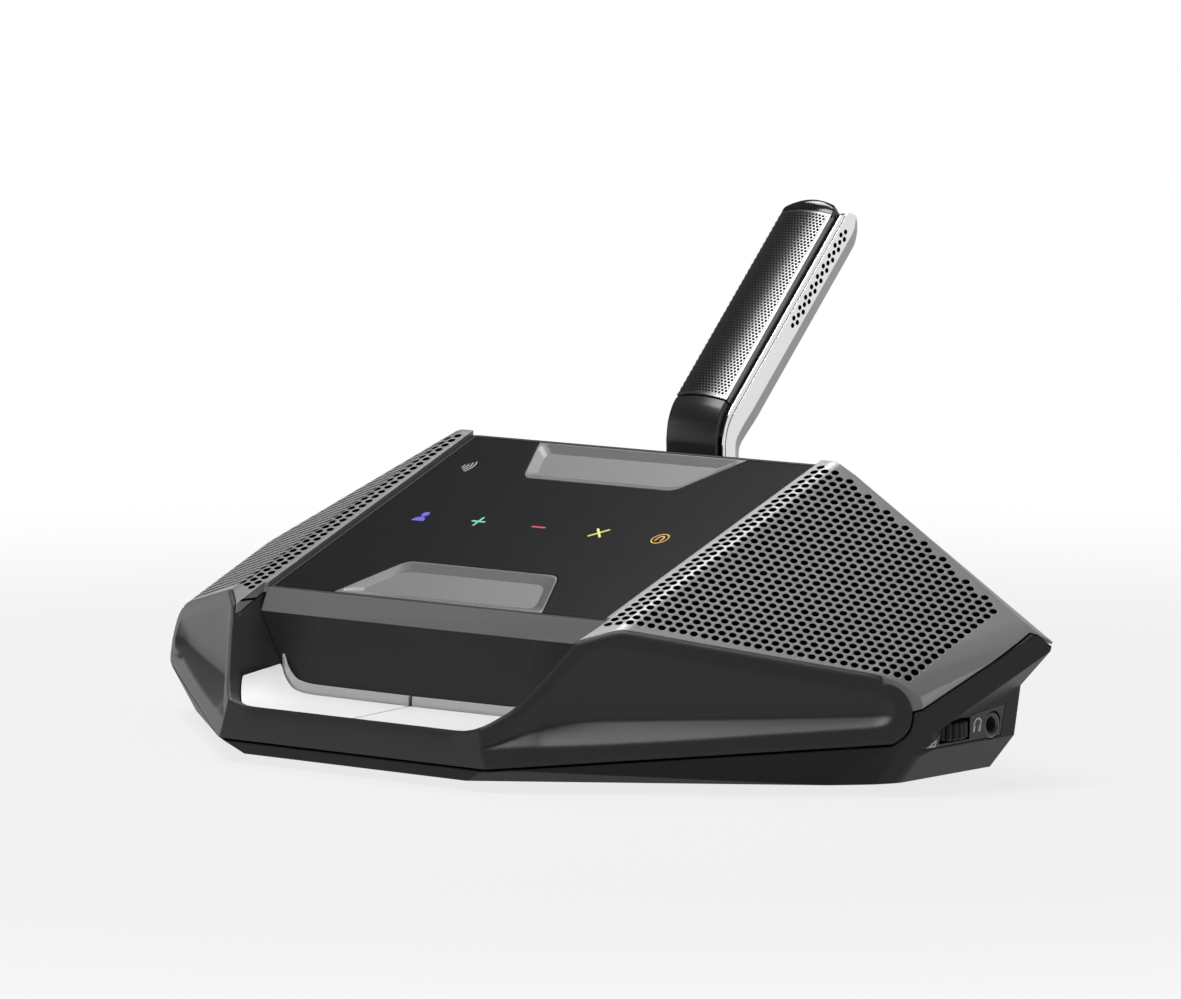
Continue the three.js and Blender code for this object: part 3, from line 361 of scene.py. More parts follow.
satinGrey = finish("satinGrey", (0.34, 0.34, 0.343), 0.30, 0.7, 3200, 0.05)
meshPaint = finish("meshPaint", (0.17, 0.17, 0.172), 0.30, 0.9, 4200, 0.06)
coverPlastic = finish("coverPlastic", (0.020, 0.020, 0.0205), 0.30, 0.0, 3600, 0.06, specular=0.4)
glossBlack = finish("glossBlack", (0.012, 0.012, 0.0122), 0.14, 0.0, 900, 0.01, specular=0.4)
# Near-black, matte paint for hole and vent walls and for the sheets behind holes: painted shade
paintedShadeBlack = finish("paintedShadeBlack", (0.0025, 0.0025, 0.0025), 0.85, 0.0, 1500, 0.5, specular=0.02)
rubberBlack = finish("rubberBlack", (0.014, 0.014, 0.014), 0.72, 0.0, 2600, 0.35, specular=0.1)
circuitGreen = finish("circuitGreen", (0.012, 0.075, 0.035), 0.4, 0.0, 900, 0.1, 0.2)
plainSteel = finish("plainSteel", (0.55, 0.55, 0.56), 0.28, 1.0, 2200, 0.05, brushed=(1, 0.15, 1))
whitePrint = finish("whitePrint", (0.72, 0.72, 0.72), 0.5, 0.0, 3000, 0.02, 0.02)

nodeFinish = {
    "cast_metal": castPaint, "dark_plastic": darkPlastic, "grey_plastic": lipPlastic,
    "touch_glass": panelGlass, "satin_trim": plaqueSatin, "bright_metal": satinChrome,
    "black_mesh": meshPaint, "gloss_black": glossBlack, "circuit_board": circuitGreen,
    "steel": plainSteel, "grille_metal": grillePaint, "white_plastic": keyPlastic,
    "light_plastic": keyLightPlastic, "black_plastic": blackPlastic, "rubber": rubberBlack,
}
for entry in frame["record"]["subparts"]:
    nodes[entry["node"]].data.materials.clear()
    nodes[entry["node"]].data.materials.append(nodeFinish[entry["material_slot"]])
print("stage: finishes on the frame's nodes")

# The corners that the body's planes pass through, on the right side, then its walls, gaps and rounds
housing = {
    "ridgeFront": (63.8, 23.6, 37.6), "ridgeRear": (62.1, 103, 71.5), "frontCorner": (43.8, 0, 5.7),
    "seamEnd": (118.3, 57.5, 12.6), "grilleCorner": (118.6, 61.8, 26.8), "seamFront": (122.2, 62.3, 19.7),
    "seamRear": (129.5, 97, 36.2), "bandRear": (128.6, 102, 31), "shelfFront": (121.3, 66, 12.9),
    "shelfRear": (126.3, 102, 28.4), "shelfInner": (119.8, 102, 22.1), "creaseFront": (121, 66, 10.3),
    "creaseRear": (118, 101, 10.5), "footFront": (113.6, 66, 2.3), "footRear": (110.6, 101, 2.3),
    "footCorner": (111, 60.4, 2.3), "footBend": (104.4, 52.6, 2.3), "footInner": (36.5, 1.2, 2.3),
    "slopeRidge": (64.5, 103.9, 70.7), "slopeEnd": (129.5, 97, 36.4), "slopeTip": (129.5, 102.8, 33.8),
    "bodyDepth": 103.5, "bottom": 2.3, "shellWall": 2.0, "castWall": 3.0, "bezelDepth": 7.5,
    "bezelLip": 0.9, "seamGap": 0.5, "slitGap": 0.12, "ridgeRound": 9.0, "cornerRound": 12.0,
    "halfWidth": 129.48, "stripCrease": 8.6, "stripTilt": 0.5, "keyTop": 14.0, "frontCrease": 5.2,
    "frontFoot": (0, 1.2, 2.3), "rearSeam": 33,
}
corner = {name: np.array(value, float) for name, value in housing.items() if isinstance(value, tuple)}

wing = plane(corner["frontCorner"], corner["grilleCorner"], corner["ridgeFront"])
grillePlane = plane(corner["ridgeFront"], corner["grilleCorner"], corner["ridgeRear"])
topPlane = plane(corner["ridgeFront"], corner["ridgeRear"], corner["ridgeFront"] * (0, 1, 1))
band = plane(corner["seamFront"], corner["seamRear"], corner["bandRear"])
wall = plane(corner["creaseFront"], corner["creaseRear"], corner["shelfInner"])
shelf = plane(corner["shelfFront"], corner["shelfRear"], corner["shelfInner"])
slope = plane(corner["slopeRidge"], corner["slopeEnd"], corner["slopeTip"])
footSide = plane(corner["creaseFront"], corner["creaseRear"], corner["footRear"])
footTurn = plane(corner["footFront"], corner["footCorner"], corner["creaseFront"])
footFacet = plane(corner["footCorner"], corner["footBend"], corner["seamEnd"])
footWing = plane(corner["footBend"], corner["seamEnd"], corner["frontCorner"])
footInnerWing = plane(corner["footInner"], corner["footBend"], corner["frontCorner"])
lowFront = plane((0, 0, housing["frontCrease"]), corner["frontFoot"],
                 (corner["frontCorner"][0], 0, housing["frontCrease"]))
front = (np.array([0.0, -1, 0]), 0.0)
rear = (np.array([0.0, 1, 0]), housing["bodyDepth"])
ground = (np.array([0.0, 0, -1]), -housing["bottom"])

roll = {"frontFlat": [(108.5, 54.8), (112.2, 57.4)],
        "frontTurn": [(115.9, 59.8, 26.6), (119.0, 61.4, 24.5), (121.3, 62.2, 22.1), (122.2, 62.3, 19.7)],
        "rearFlat": [(120, 97), (123, 97), (126, 97), (128, 97)],
        "rearTurn": [(129.1, 97, 36.85), (129.5, 97, 36.2)], "points": 17, "startsAt": 3}


# The point of the flat grille plane above a place in plan
def onGrille(x, y):
    return x, y, (grillePlane[1] - grillePlane[0][0] * x - grillePlane[0][1] * y) / grillePlane[0][2]


def rollLine(flat, turned):
    return smoothLine([*(onGrille(x, y) for x, y in flat), *turned], roll["points"])[roll["startsAt"]:]


# The rolled outer edge of a grille: its front profile, from the flat to the side seam, is joined by
# straight lines to the rear profile, where the roll has nearly closed to an edge
rollFront = rollLine(roll["frontFlat"], roll["frontTurn"])
rollRear = rollLine(roll["rearFlat"], roll["rearTurn"])
rollPlanes = [plane(rollFront[i], rollFront[i + 1], (rollRear[i] + rollRear[i + 1]) / 2)
              for i in range(len(rollFront) - 1)]
rollPlanes = [f for f in rollPlanes if max(f[0] @ corner["ridgeFront"], f[0] @ corner["ridgeRear"]) < f[1]]

widest = (np.array([1.0, 0, 0]), housing["halfWidth"])
sideFaces = [widest, grillePlane, *rounded(topPlane, grillePlane, housing["ridgeRound"]), *rollPlanes, band,
             footSide, footTurn, footFacet, footWing, footInnerWing, slope,
             *rounded(footWing, footFacet, housing["cornerRound"], 4),
             *rounded(footFacet, footTurn, housing["cornerRound"], 4),
             *rounded(footTurn, footSide, housing["cornerRound"], 4)]


# The outer body with every face moved inwards. The wing fronts and the floor may move by other amounts
def bodyForm(inset, wingInset=None, floorInset=None):
    wingInset = inset if wingInset is None else wingInset
    floorInset = inset if floorInset is None else floorInset
    right = [moved(face, inset) for face in sideFaces] + [moved(wing, wingInset)]
    shared = [moved(topPlane, inset), moved(rear, inset), moved(ground, floorInset), moved(front, wingInset),
              moved(lowFront, wingInset)]
    form = within(shared + right + [mirroredPlane(face) for face in right])
    notch = within([(-face[0], -face[1] + inset) for face in (wall, shelf)])
    return cut(form, notch, mirrored(notch))


def wideBlock(low=(-far, -far, -far), high=(far, far, far)):
    return block(low, high)


# Everything less deep than this behind the wings' and the middle's front
def frontZone(depth):
    return join(beyond(wing, depth), mirrored(beyond(wing, depth)), beyond(front, depth))


# The seam between casting and bezel climbs from the front corner to the wing's end
def aboveFrontSeam(lift):
    start, end = corner["frontCorner"], corner["seamEnd"]
    rise = (end[2] - start[2]) / (end[0] - start[0])
    level, farLevel = start[2] + lift, start[2] + lift + (far - start[0]) * rise
    return prism("y", [(-far, farLevel), (-start[0], level), (start[0], level), (far, farLevel), (far, far),
                       (-far, far)], -far, far)


# The seam between casting and grille climbs along the side in three straight parts
def aboveSideSeam(lift):
    a, b = corner["seamFront"], corner["seamRear"]
    return prism("x", [(-far, a[2] + lift), (a[1], a[2] + lift), (b[1], b[2] + lift),
                       (housing["bodyDepth"], housing["rearSeam"] + lift), (far, housing["rearSeam"] + lift),
                       (far, far), (-far, far)], -far, far)


panel = {"lipBottom": (26.4, 33.2), "lipTop": (28.9, 38.8), "rear": (102.7, 70.2), "frontHalf": 55.6,
         "rearHalf": 57.2, "glass": 2.0, "deck": 2.4, "rim": 0.7, "gap": 0.26,
         "plaqueWide": 34.1, "plaqueNarrow": 24.8, "plaqueLength": 16.0, "plaqueDrop": 0.95, "plaqueRim": 2.9,
         "plaqueRound": 3.2, "plaqueCorner": 2.6, "plaqueStep": 0.35, "plaqueLift": 2.0, "border": 1.4,
         "carrierWall": 2.2, "deckRear": 7.2, "deckTop": 58, "floorGap": 0.3,
         "lipMargin": 0.05, "rimMargin": 0.2}
panelRise = (panel["rear"][1] - panel["lipTop"][1]) / (panel["rear"][0] - panel["lipTop"][0])
panelWidening = (panel["rearHalf"] - panel["frontHalf"]) / (panel["rear"][0] - panel["lipTop"][0])


# The room between the two grilles, which widens evenly towards the rear
def betweenGrilles(clearance):
    low = panel["frontHalf"] - panel["lipTop"][0] * panelWidening + clearance
    high = low + far * panelWidening
    return prism("z", [(-low, 0), (low, 0), (high, far), (-high, far)], -far, far)


# Everything under the panel's slope: the height rises evenly with the depth from the lip's top edge
def underPanel(drop):
    def level(y):
        return panel["lipTop"][1] - drop + (y - panel["lipTop"][0]) * panelRise
    return prism("x", [(-far, level(-far)), (far, level(far)), (far, -2 * far), (-far, -2 * far)], -far, far)


recess = {"curve": [(36, 14), (41, 15.2), (44.4, 17.4), (47.3, 20.1), (51, 25.6), (54.1, 31), (55.6, 33.8),
                    (56.6, 36.8), (57, 40)],
          "wallFoot": 17.4, "middleY": 21.6, "endY": 26.5, "bend": 34, "end": 50, "sideWall": 2.2,
          "wellFloor": 8.0, "wellHalf": 47.9, "wellRim": 21, "bendSteps": 13, "points": 44}
recessLine = smoothLine(recess["curve"], recess["points"])


# The space behind the recess's back wall and the lip, moved back by the offset. The wall is straight in
# the middle and turns back towards its ends by the bend squared times three less twice the bend
def behindRecess(offset):
    bend = np.linspace(0, 1, recess["bendSteps"])
    side = recess["bend"] + (recess["end"] - recess["bend"]) * bend
    back = recess["middleY"] + (recess["endY"] - recess["middleY"]) * bend ** 2 * (3 - 2 * bend)
    across = np.concatenate([[-far], -side[::-1], side, [far]])
    depth = np.concatenate([[back[-1]], back[::-1], back, [back[-1]]])
    rings = []
    for x, y in zip(across, depth):
        bottom, top = panel["lipBottom"], panel["lipTop"]
        rings.append([(x, y + offset, -far), (x, y + offset, recess["wallFoot"]),
                      (x, bottom[0] + offset, bottom[1]), (x, top[0] + offset, top[1]),
                      (x, top[0] + offset, far), (x, far, far), (x, far, -far)])
    return loft(rings)


# The recess's side walls follow the smooth recess line, and its back is the wall under the lip
def recessCut():
    right = [*recessLine, (recessLine[-1][0], overhead)]
    left = [(-x, z) for x, z in right[::-1]]
    return cut(prism("y", [*right, *left], -far, far), behindRecess(0))


wingAcross = np.array([-wing[0][1], wing[0][0], 0]) / np.hypot(wing[0][0], wing[0][1])
wingUp = np.cross(wingAcross, wing[0])
wingUp /= np.linalg.norm(wingUp)


# Points given across the wing, by height and by depth behind its front
def onWing(across, height, depth):
    rise = (height - corner["frontCorner"][2]) / wingUp[2]
    return corner["frontCorner"] + wingAcross * across + wingUp * rise - wing[0] * depth


# An outline on the wing, carried square to it from one depth to another
def wingPrism(outline, near, farther):
    return loft([[onWing(u, z, depth) for u, z in outline] for depth in (near, farther)])


wingEnd = {"across": 92.2, "height": 19.4, "round": 7.2, "points": 33, "overlap": 0.01, "side": 130,
           "below": -10, "near": -5, "deep": 15}
# The groove's top and foot edges and its valley, by place across the wing, height, and the valley's depth
groove = {"top": [(-1.5, 10.35), (4.1, 13.6), (9.5, 18.9), (15.2, 24.3), (18.4, 28.1), (21.3, 31),
                  (24.3, 33.2), (27.2, 34.0), (30.5, 33.9), (41.1, 32.2), (59.1, 29), (80, 25.7),
                  (89.6, 24.15), (92.4, 23.5), (94.2, 22.2), (95.1, 20.6), (95.4, 19.3)],
          "foot": [(-1.5, 10.3), (36, 12.3), (64, 14.45), (88, 16.3), (92.2, 16.8), (94.2, 17.6),
                   (95.4, 19.2)],
          "valley": [(-1.5, 10.33, 0), (2, 11.5, 0.6), (5, 12.7, 1.1), (8, 13.8, 1.5), (11, 14.8, 2.0),
                     (14, 15.7, 3.2), (22, 17.1, 4.4), (36, 17.6, 4.4), (60, 18.1, 3.4), (80, 18.7, 2.6),
                     (90, 19.1, 2.1), (93.2, 19.3, 1.3), (95.4, 19.25, 0)],
          "points": 300, "stations": 90, "outside": -4, "leastRise": 0.01, "leastDepth": 0.005}

whole = bodyForm(0)
openFront = (-5, -5)  # a wall's inner form runs out through the wing fronts and the floor
insideShell = bodyForm(housing["shellWall"], *openFront)
insideCasting = bodyForm(housing["castWall"])
recessSpace = recessCut()
print("stage: housing forms")

# The holes stand on a lattice: a place near the plate's middle, the step across and the step back
grille = {"origin": (91.217, 67.283, 42.688), "across": (2.1044, 1.3889, -0.4281),
          "back": (0.0235, 2.3298, 0.9605), "hole": 0.95, "first": -17, "last": 13, "firstRow": -9,
          "lastRow": 26, "frontMargin": 1.5, "rearMargin": 1.6, "sidesOfHole": 12, "reach": 2.6,
          "rearWall": 0.25, "panelMargin": 2.1, "facing": 0.5, "rimMiddle": 0.97, "rimSpread": 0.06,
          "rimTilt": 0.35, "backingGap": 0.25, "backingWall": 0.5, "backingLift": 1, "backingSide": 2,
          "backingRear": 3}


# One prism for each place of the lattice that keeps its distance from the plate's edges. It reaches as
# much deeper as the rounded edges lie under the flat plane
def grilleHoles():
    i, j = np.meshgrid(np.arange(grille["first"], grille["last"] + 1),
                       np.arange(grille["firstRow"], grille["lastRow"] + 1), indexing="ij")
    centre = (np.array(grille["origin"]) + i[..., None] * np.array(grille["across"])
              + j[..., None] * np.array(grille["back"])).reshape(-1, 3)
    ridge, end = corner["slopeRidge"], corner["slopeEnd"]
    rearLine = ridge[1] + (centre[:, 0] - ridge[0]) * (end[1] - ridge[1]) / (end[0] - ridge[0])
    panelEdge = panel["frontHalf"] + (centre[:, 1] - panel["lipTop"][0]) * panelWidening
    keep = ((centre[:, 1] < rearLine - grille["rearMargin"])
            & (centre[:, 0] > panelEdge + grille["panelMargin"])
            & (wing[1] - centre @ wing[0] > grille["frontMargin"]))
    centre, normal = centre[keep], grillePlane[0]
    over = [(centre @ face[0] - face[1]) / (normal @ face[0]) for face in sideFaces
            if normal @ face[0] > grille["facing"]]
    reach = np.maximum(np.max(over, axis=0), 0) + grille["reach"]
    end = centre - normal * reach[:, None]
    behind = np.minimum(slope[1] - end @ slope[0], rear[1] - end @ rear[0])
    keep = behind > grille["hole"] + grille["rearWall"]
    centre, reach = centre[keep], reach[keep, None, None]
    side = np.cross(normal, [0, 0, 1])
    side /= np.linalg.norm(side)
    other = np.cross(normal, side)
    angle = np.arange(grille["sidesOfHole"]) * 2 * np.pi / grille["sidesOfHole"]
    ring = grille["hole"] * (np.cos(angle)[:, None] * side + np.sin(angle)[:, None] * other)
    low = centre[:, None] + ring - normal * reach
    high = centre[:, None] + ring + normal * grille["reach"]
    points = np.concatenate([low, high], axis=1).reshape(-1, 3)
    start = (np.arange(len(centre)) * 2 * grille["sidesOfHole"])[:, None]
    around = np.arange(grille["sidesOfHole"])
    after = np.roll(around, -1)
    strips = np.stack([start + around, start + after, start + after + grille["sidesOfHole"],
                       start + around + grille["sidesOfHole"]], axis=-1).reshape(-1, 4)
    ends = [start + around[::-1], start + around + grille["sidesOfHole"]]
    faces = strips.tolist() + ends[0].tolist() + ends[1].tolist()
    print("grille holes a side:", len(centre))
    return facedOut(meshOf(points, faces))


# The plate is divided along the rows of holes first, so that no face holds a whole hole
def grilleShell():
    lip = housing["bezelLip"] + housing["slitGap"]
    skin = cut(meet(whole, aboveSideSeam(0)), insideShell, frontZone(lip), betweenGrilles(housing["slitGap"]),
               recessSpace)
    half = meet(skin, wideBlock((0, -far, -far)))
    bm = bmesh.new()
    bm.from_mesh(half)
    rowSide = np.cross(grille["across"], grillePlane[0])
    for row in range(grille["firstRow"], grille["lastRow"] + 1):
        bmesh.ops.bisect_plane(bm, geom=bm.verts[:] + bm.edges[:] + bm.faces[:], dist=1e-5, plane_no=rowSide,
                               plane_co=np.array(grille["origin"]) + row * np.array(grille["back"]))
    bm.to_mesh(half)
    bm.free()
    return half


shell = cut(grilleShell(), grilleHoles())


# A hole's walls face across the plate and lie at the hole's radius from a place of the lattice. They are
# painted near-black: painted shade inside the holes
def shadedHoleWalls(centre, normal):
    axes = np.array([grille["across"], grille["back"], grillePlane[0]]).T
    steps = np.linalg.solve(axes, (centre - grille["origin"]).T)
    away = axes[:, :2] @ (steps[:2] - np.round(steps[:2]))
    onRim = np.abs(np.linalg.norm(away, axis=0) / grille["hole"] - grille["rimMiddle"]) < grille["rimSpread"]
    return onRim & (np.abs(normal @ grillePlane[0]) < grille["rimTilt"])


# The grille's hole walls take near-black paint as painted shade inside the holes
piecePair("grille_cover", shell, "housing", "grille_metal", grillePaint, ["grille"], bevel=0, flatten=0,
          smooth=14, also=[(paintedShadeBlack, shadedHoleWalls)])
# A near-black sheet under each grille, seen through its holes: painted shade
backingTop = housing["shellWall"] + grille["backingGap"]
backing = cut(meet(bodyForm(backingTop, *openFront), aboveSideSeam(grille["backingLift"])),
              bodyForm(backingTop + grille["backingWall"], *openFront), frontZone(housing["bezelDepth"] + 1),
              betweenGrilles(grille["backingSide"]), wideBlock((-far, -far, -far), (0, far, far)),
              beyond(rear, grille["backingRear"]))
piecePair("grille_backing", backing, "housing", "black_plastic", paintedShadeBlack, bevel=0)
print("stage: grilles")

control = {"wheelCentre": (114.2, 78.3, 14.1), "wheelRadius": 8.0, "wheelHeight": 4.2, "wheelClearance": 0.6,
           "ribs": 26, "ribDepth": 0.55, "ribSteps": 12, "ribShape": 0.7, "wheelChamfer": 0.5,
           "shaft": 1.28, "shaftTop": 40, "jackCentre": (118.4, 93.6, 14.0), "jackRing": 3.2,
           "jackBore": 1.8, "jackLength": 12.0, "jackProud": 0.9, "jackFloor": 1.6, "jackChamfer": 0.5,
           "jackSides": 48, "jackGap": 0.15, "wheelSides": 64, "shaftSides": 32,
           "board": 109, "boardWall": 1.6, "boardGap": 0.3, "clear": 5,
           "plate": [(66.6, 10.75), (97.6, 11.1), (98, 18.6), (87, 17.5), (73, 13.9)], "plateDepth": 1.5}
tray = {"rearEnd": 139.5, "topFront": 58, "lowFront": 71, "lowFrontHeight": 20, "topRear": 50,
        "topRearHeight": 54, "lowRear": 60, "fall": -0.448, "top": 22, "floorTop": 5.3, "bayHalf": 27,
        "bayDepth": 16, "bayTop": 19, "bayWall": 2, "sideRound": 7.0, "topRound": 6.0, "ridgeRound": 3.0}
mouth = {"middle": 11, "half": 5.9, "low": 10.5, "high": 17.1, "length": 12, "end": 134, "gap": 0.3}
under = {"screws": [(30, 15), (101, 64), (40, 116)], "headRadius": 3.0, "headTo": 4.15, "shankRadius": 1.55,
         "shankTo": 8, "feet": [(28, 30), (84, 90)], "footRadius": 6.3, "footTo": 3.1, "below": -5,
         "sides": 24}
casting = {"bezelGap": 0.3, "endGap": 0.35, "plateGap": 0.15, "jackGap": 0.25, "mouthGap": 0.3}


def wheelSpace():
    x, y, z = control["wheelCentre"]
    half = control["wheelHeight"] / 2 + control["wheelClearance"]
    return rod(control["wheelRadius"] + control["wheelClearance"], (x, y, z - half), (x, y, z + half),
               control["wheelSides"])


# Every side of the outline moves outwards by the amount, and its corners along their bisectors
def grown(outline, amount):
    points = np.asarray(outline, float)
    before, after = np.roll(points, 1, axis=0), np.roll(points, -1, axis=0)
    area = np.sum(points[:, 0] * after[:, 1] - after[:, 0] * points[:, 1])

    def outward(a, b):
        along = (b - a) / np.linalg.norm(b - a, axis=1, keepdims=True)
        return np.stack([along[:, 1], -along[:, 0]], axis=1) * np.sign(area)
    first, second = outward(before, points), outward(points, after)
    bisector = first + second
    sharpest = 0.3  # keeps a sharp corner from running far out
    return points + bisector * amount / np.maximum(np.sum(bisector * first, axis=1, keepdims=True), sharpest)


# The shallow pocket in the side wall that holds the plate with the wheel's and the socket's openings
def platePocket(clearance):
    x = control["jackCentre"][0]
    return meet(prism("x", grown(control["plate"], clearance), x - control["jackLength"], far),
                beyond(wall, control["plateDepth"] + clearance))


def jackSpace(clearance):
    x, y, z = control["jackCentre"]
    return rod(control["jackRing"] + clearance, (x - control["jackLength"], y, z),
               (x + control["clear"], y, z), control["jackSides"])


# The body behind the panel: the tray and the cover over it, from the given depth backwards
def rearForm(inset, frontY):
    z = corner["slopeRidge"][2]
    depth, end = housing["bodyDepth"], tray["rearEnd"]
    side = plane((tray["topFront"], depth, z), (tray["lowFront"], depth, tray["lowFrontHeight"]),
                 (tray["topRear"], end, tray["topRearHeight"]))
    top = plane((0, depth, z), (tray["lowRear"], depth, z), (0, end, z + (end - depth) * tray["fall"]))
    back = (np.array([0.0, 1, 0]), end)
    right = [side, *rounded(side, back, tray["sideRound"], 10), *rounded(side, top, tray["ridgeRound"], 6)]
    faces = [moved(f, inset) for f in [*right, *map(mirroredPlane, right), top, back, ground,
                                       *rounded(top, back, tray["topRound"], 9)]]
    return within([*faces, (np.array([0.0, -1, 0]), -frontY)])


# The cable bay, and the mouth in its wall for a network socket
def bay(clearance):
    half = tray["bayHalf"] + clearance
    return block((-half, tray["rearEnd"] - tray["bayDepth"] - clearance, -far),
                 (half, far, tray["bayTop"] + clearance))


def mouthSpace(clearance):
    start = tray["rearEnd"] - tray["bayDepth"] - tray["bayWall"] - mouth["gap"] - mouth["length"]
    return block((mouth["middle"] - mouth["half"] - clearance, start, mouth["low"] - clearance),
                 (mouth["middle"] + mouth["half"] + clearance, mouth["end"], mouth["high"] + clearance))


def holesAt(places, radius, low, high):
    rods = [rod(radius, (sign * x, y, low), (sign * x, y, high), under["sides"])
            for x, y in places for sign in (1, -1)]
    return join(rods[0], *rods[1:])


# The casting is a shell of even wall, without what belongs to the bezel, the grilles and the controls
def baseCasting():
    depth, wallDepth = housing["bodyDepth"], housing["castWall"]
    body = join(whole, meet(rearForm(0, depth - wallDepth), wideBlock(high=(far, far, tray["top"]))))
    hollow = cut(rearForm(wallDepth, depth - 2 * wallDepth), bay(tray["bayWall"]))
    opening = block((-tray["lowRear"], depth - 2 * wallDepth, tray["floorTop"]),
                    (tray["lowRear"], depth + wallDepth, far))
    bezelSpace = cut(meet(frontZone(housing["bezelDepth"] + casting["bezelGap"]),
                          aboveFrontSeam(-housing["seamGap"])), bezelEnd(casting["endGap"]))
    body = cut(body, insideCasting, hollow, cut(opening, bay(tray["bayWall"])), bezelSpace,
               aboveSideSeam(-housing["seamGap"]))
    controls = both(join(wheelSpace(), platePocket(casting["plateGap"]), jackSpace(casting["jackGap"])))
    feet = holesAt(under["feet"], under["footRadius"], under["below"], under["footTo"])
    heads = holesAt(under["screws"], under["headRadius"], under["below"], under["headTo"])
    shanks = holesAt(under["screws"], under["shankRadius"], 0, under["shankTo"])
    return cut(body, bay(0), controls, feet, heads, shanks, both(mouthSpace(casting["mouthGap"])))


# The wing beyond the bezel's round end, which stays with the casting and the grille
def bezelEnd(gap):
    turn = np.linspace(-np.pi / 2, np.pi / 2, wingEnd["points"])
    arc = [(wingEnd["across"] + wingEnd["round"] * math.cos(a),
            wingEnd["height"] + wingEnd["round"] * math.sin(a)) for a in turn]
    start, end = wingEnd["across"] - wingEnd["overlap"], wingEnd["side"]
    outline = [*grown(arc, gap), (start, overhead), (end, overhead), (end, wingEnd["below"]),
               (start, wingEnd["below"])]
    return wingPrism(outline, wingEnd["near"], wingEnd["deep"])


keyEdge = {"front": [(0.3, 1.2, 14), (12, 1.2, 14), (24, 1.2, 14), (33, 1.25, 14), (38, 2.4, 14.3),
                     (41, 4.8, 15.2), (44, 7.8, 16.8), (46, 10, 18.2), (47.2, 11.6, 19.4)],
           "rear": [(0.3, 20, 15.1), (12, 20, 15.15), (24, 20, 15.2), (33, 20.05, 15.3), (38, 20.4, 15.9),
                    (41, 21.3, 17), (44, 22.8, 18.6), (46, 24.1, 20.1), (47.2, 24.7, 21.2)],
           "thickness": 2.4, "lightWidth": 0.9, "lightRise": 2.3, "lightDrop": 1.6, "gap": 0.45,
           "lightStart": 0.5, "points": 49}
keyFront, keyRear = (smoothLine(keyEdge[line], keyEdge["points"]) for line in ("front", "rear"))


# A triangle of foot edge, valley and top edge is carried across the wing, open to the front
def grooveSpace():
    top, foot, valley = (smoothLine(groove[line], groove["points"]) for line in ("top", "foot", "valley"))
    share = 0.5 - 0.5 * np.cos(np.linspace(0, np.pi, groove["stations"]))
    u = top[0, 0] + (top[-1, 0] - top[0, 0]) * share
    topZ, footZ = np.interp(u, top[:, 0], top[:, 1]), np.interp(u, foot[:, 0], foot[:, 1])
    valleyZ, depth = np.interp(u, valley[:, 0], valley[:, 1]), np.interp(u, valley[:, 0], valley[:, 2])
    topZ = np.maximum(topZ, valleyZ + groove["leastRise"])
    footZ = np.minimum(footZ, valleyZ - groove["leastRise"])
    depth, outside = np.maximum(depth, groove["leastDepth"]), groove["outside"]
    rings = [[onWing(a, z0, outside), onWing(a, z0, 0), onWing(a, z1, d), onWing(a, z2, 0),
              onWing(a, z2, outside)] for a, z0, z1, z2, d in zip(u, footZ, valleyZ, topZ, depth)]
    return loft(rings)


bezelParts = {"skinGap": 0.3, "floorFront": 0.9, "floorWall": 2, "sideFront": 5, "wellBack": 34,
              "wellBend": 5}


# A frame as deep as bezelDepth behind the front, with the key well's floor and the recess's side walls
# behind it. The well, the recess, the grooves and room for grilles and carrier are cut out
def frontBezel():
    skin = cut(aboveSideSeam(-bezelParts["skinGap"]),
               bodyForm(housing["shellWall"] + bezelParts["skinGap"], *openFront),
               frontZone(housing["bezelLip"]), betweenGrilles(0))
    slab = cut(meet(whole, frontZone(housing["bezelDepth"])), both(bezelEnd(0)))
    wellHalf, wellFloor, sideWall = recess["wellHalf"], recess["wellFloor"], recess["sideWall"]
    floorPlate = block((-wellHalf - sideWall, bezelParts["floorFront"], wellFloor - bezelParts["floorWall"]),
                       (wellHalf + sideWall, panel["lipTop"][0], wellFloor))
    upper = recessLine[recessLine[:, 0] > wellHalf]
    face = [(wellHalf, wellFloor - 1), (wellHalf, recess["wellRim"]), *upper, (upper[-1][0], overhead)]
    side = prism("y", [*face, *[(x + sideWall, z) for x, z in face[::-1]]], bezelParts["sideFront"],
                 panel["lipTop"][0])
    edge = [(x, y - keyEdge["gap"]) for x, y, z in keyFront[1:]]
    middle, back = -bezelParts["wellBend"], bezelParts["wellBack"]
    plan = [(middle, edge[0][1]), *edge, (wellHalf, edge[-1][1]), (wellHalf, back), (middle, back)]
    well = both(prism("z", plan, wellFloor, overhead))
    stripPlane = plane((0, 0, housing["stripCrease"]), (10, 0, housing["stripCrease"]),
                       (0, housing["stripTilt"], housing["keyTop"]))
    grooved = cut(join(slab, both(side)), both(grooveSpace()))
    body = meet(join(grooved, floorPlate), whole, aboveFrontSeam(0))
    carrier = cut(meet(behindRecess(-housing["slitGap"]), betweenGrilles(housing["slitGap"])),
                  wideBlock(high=(far, far, wellFloor)))
    return cut(body, recessSpace, well, skin, carrier, beyond(stripPlane))


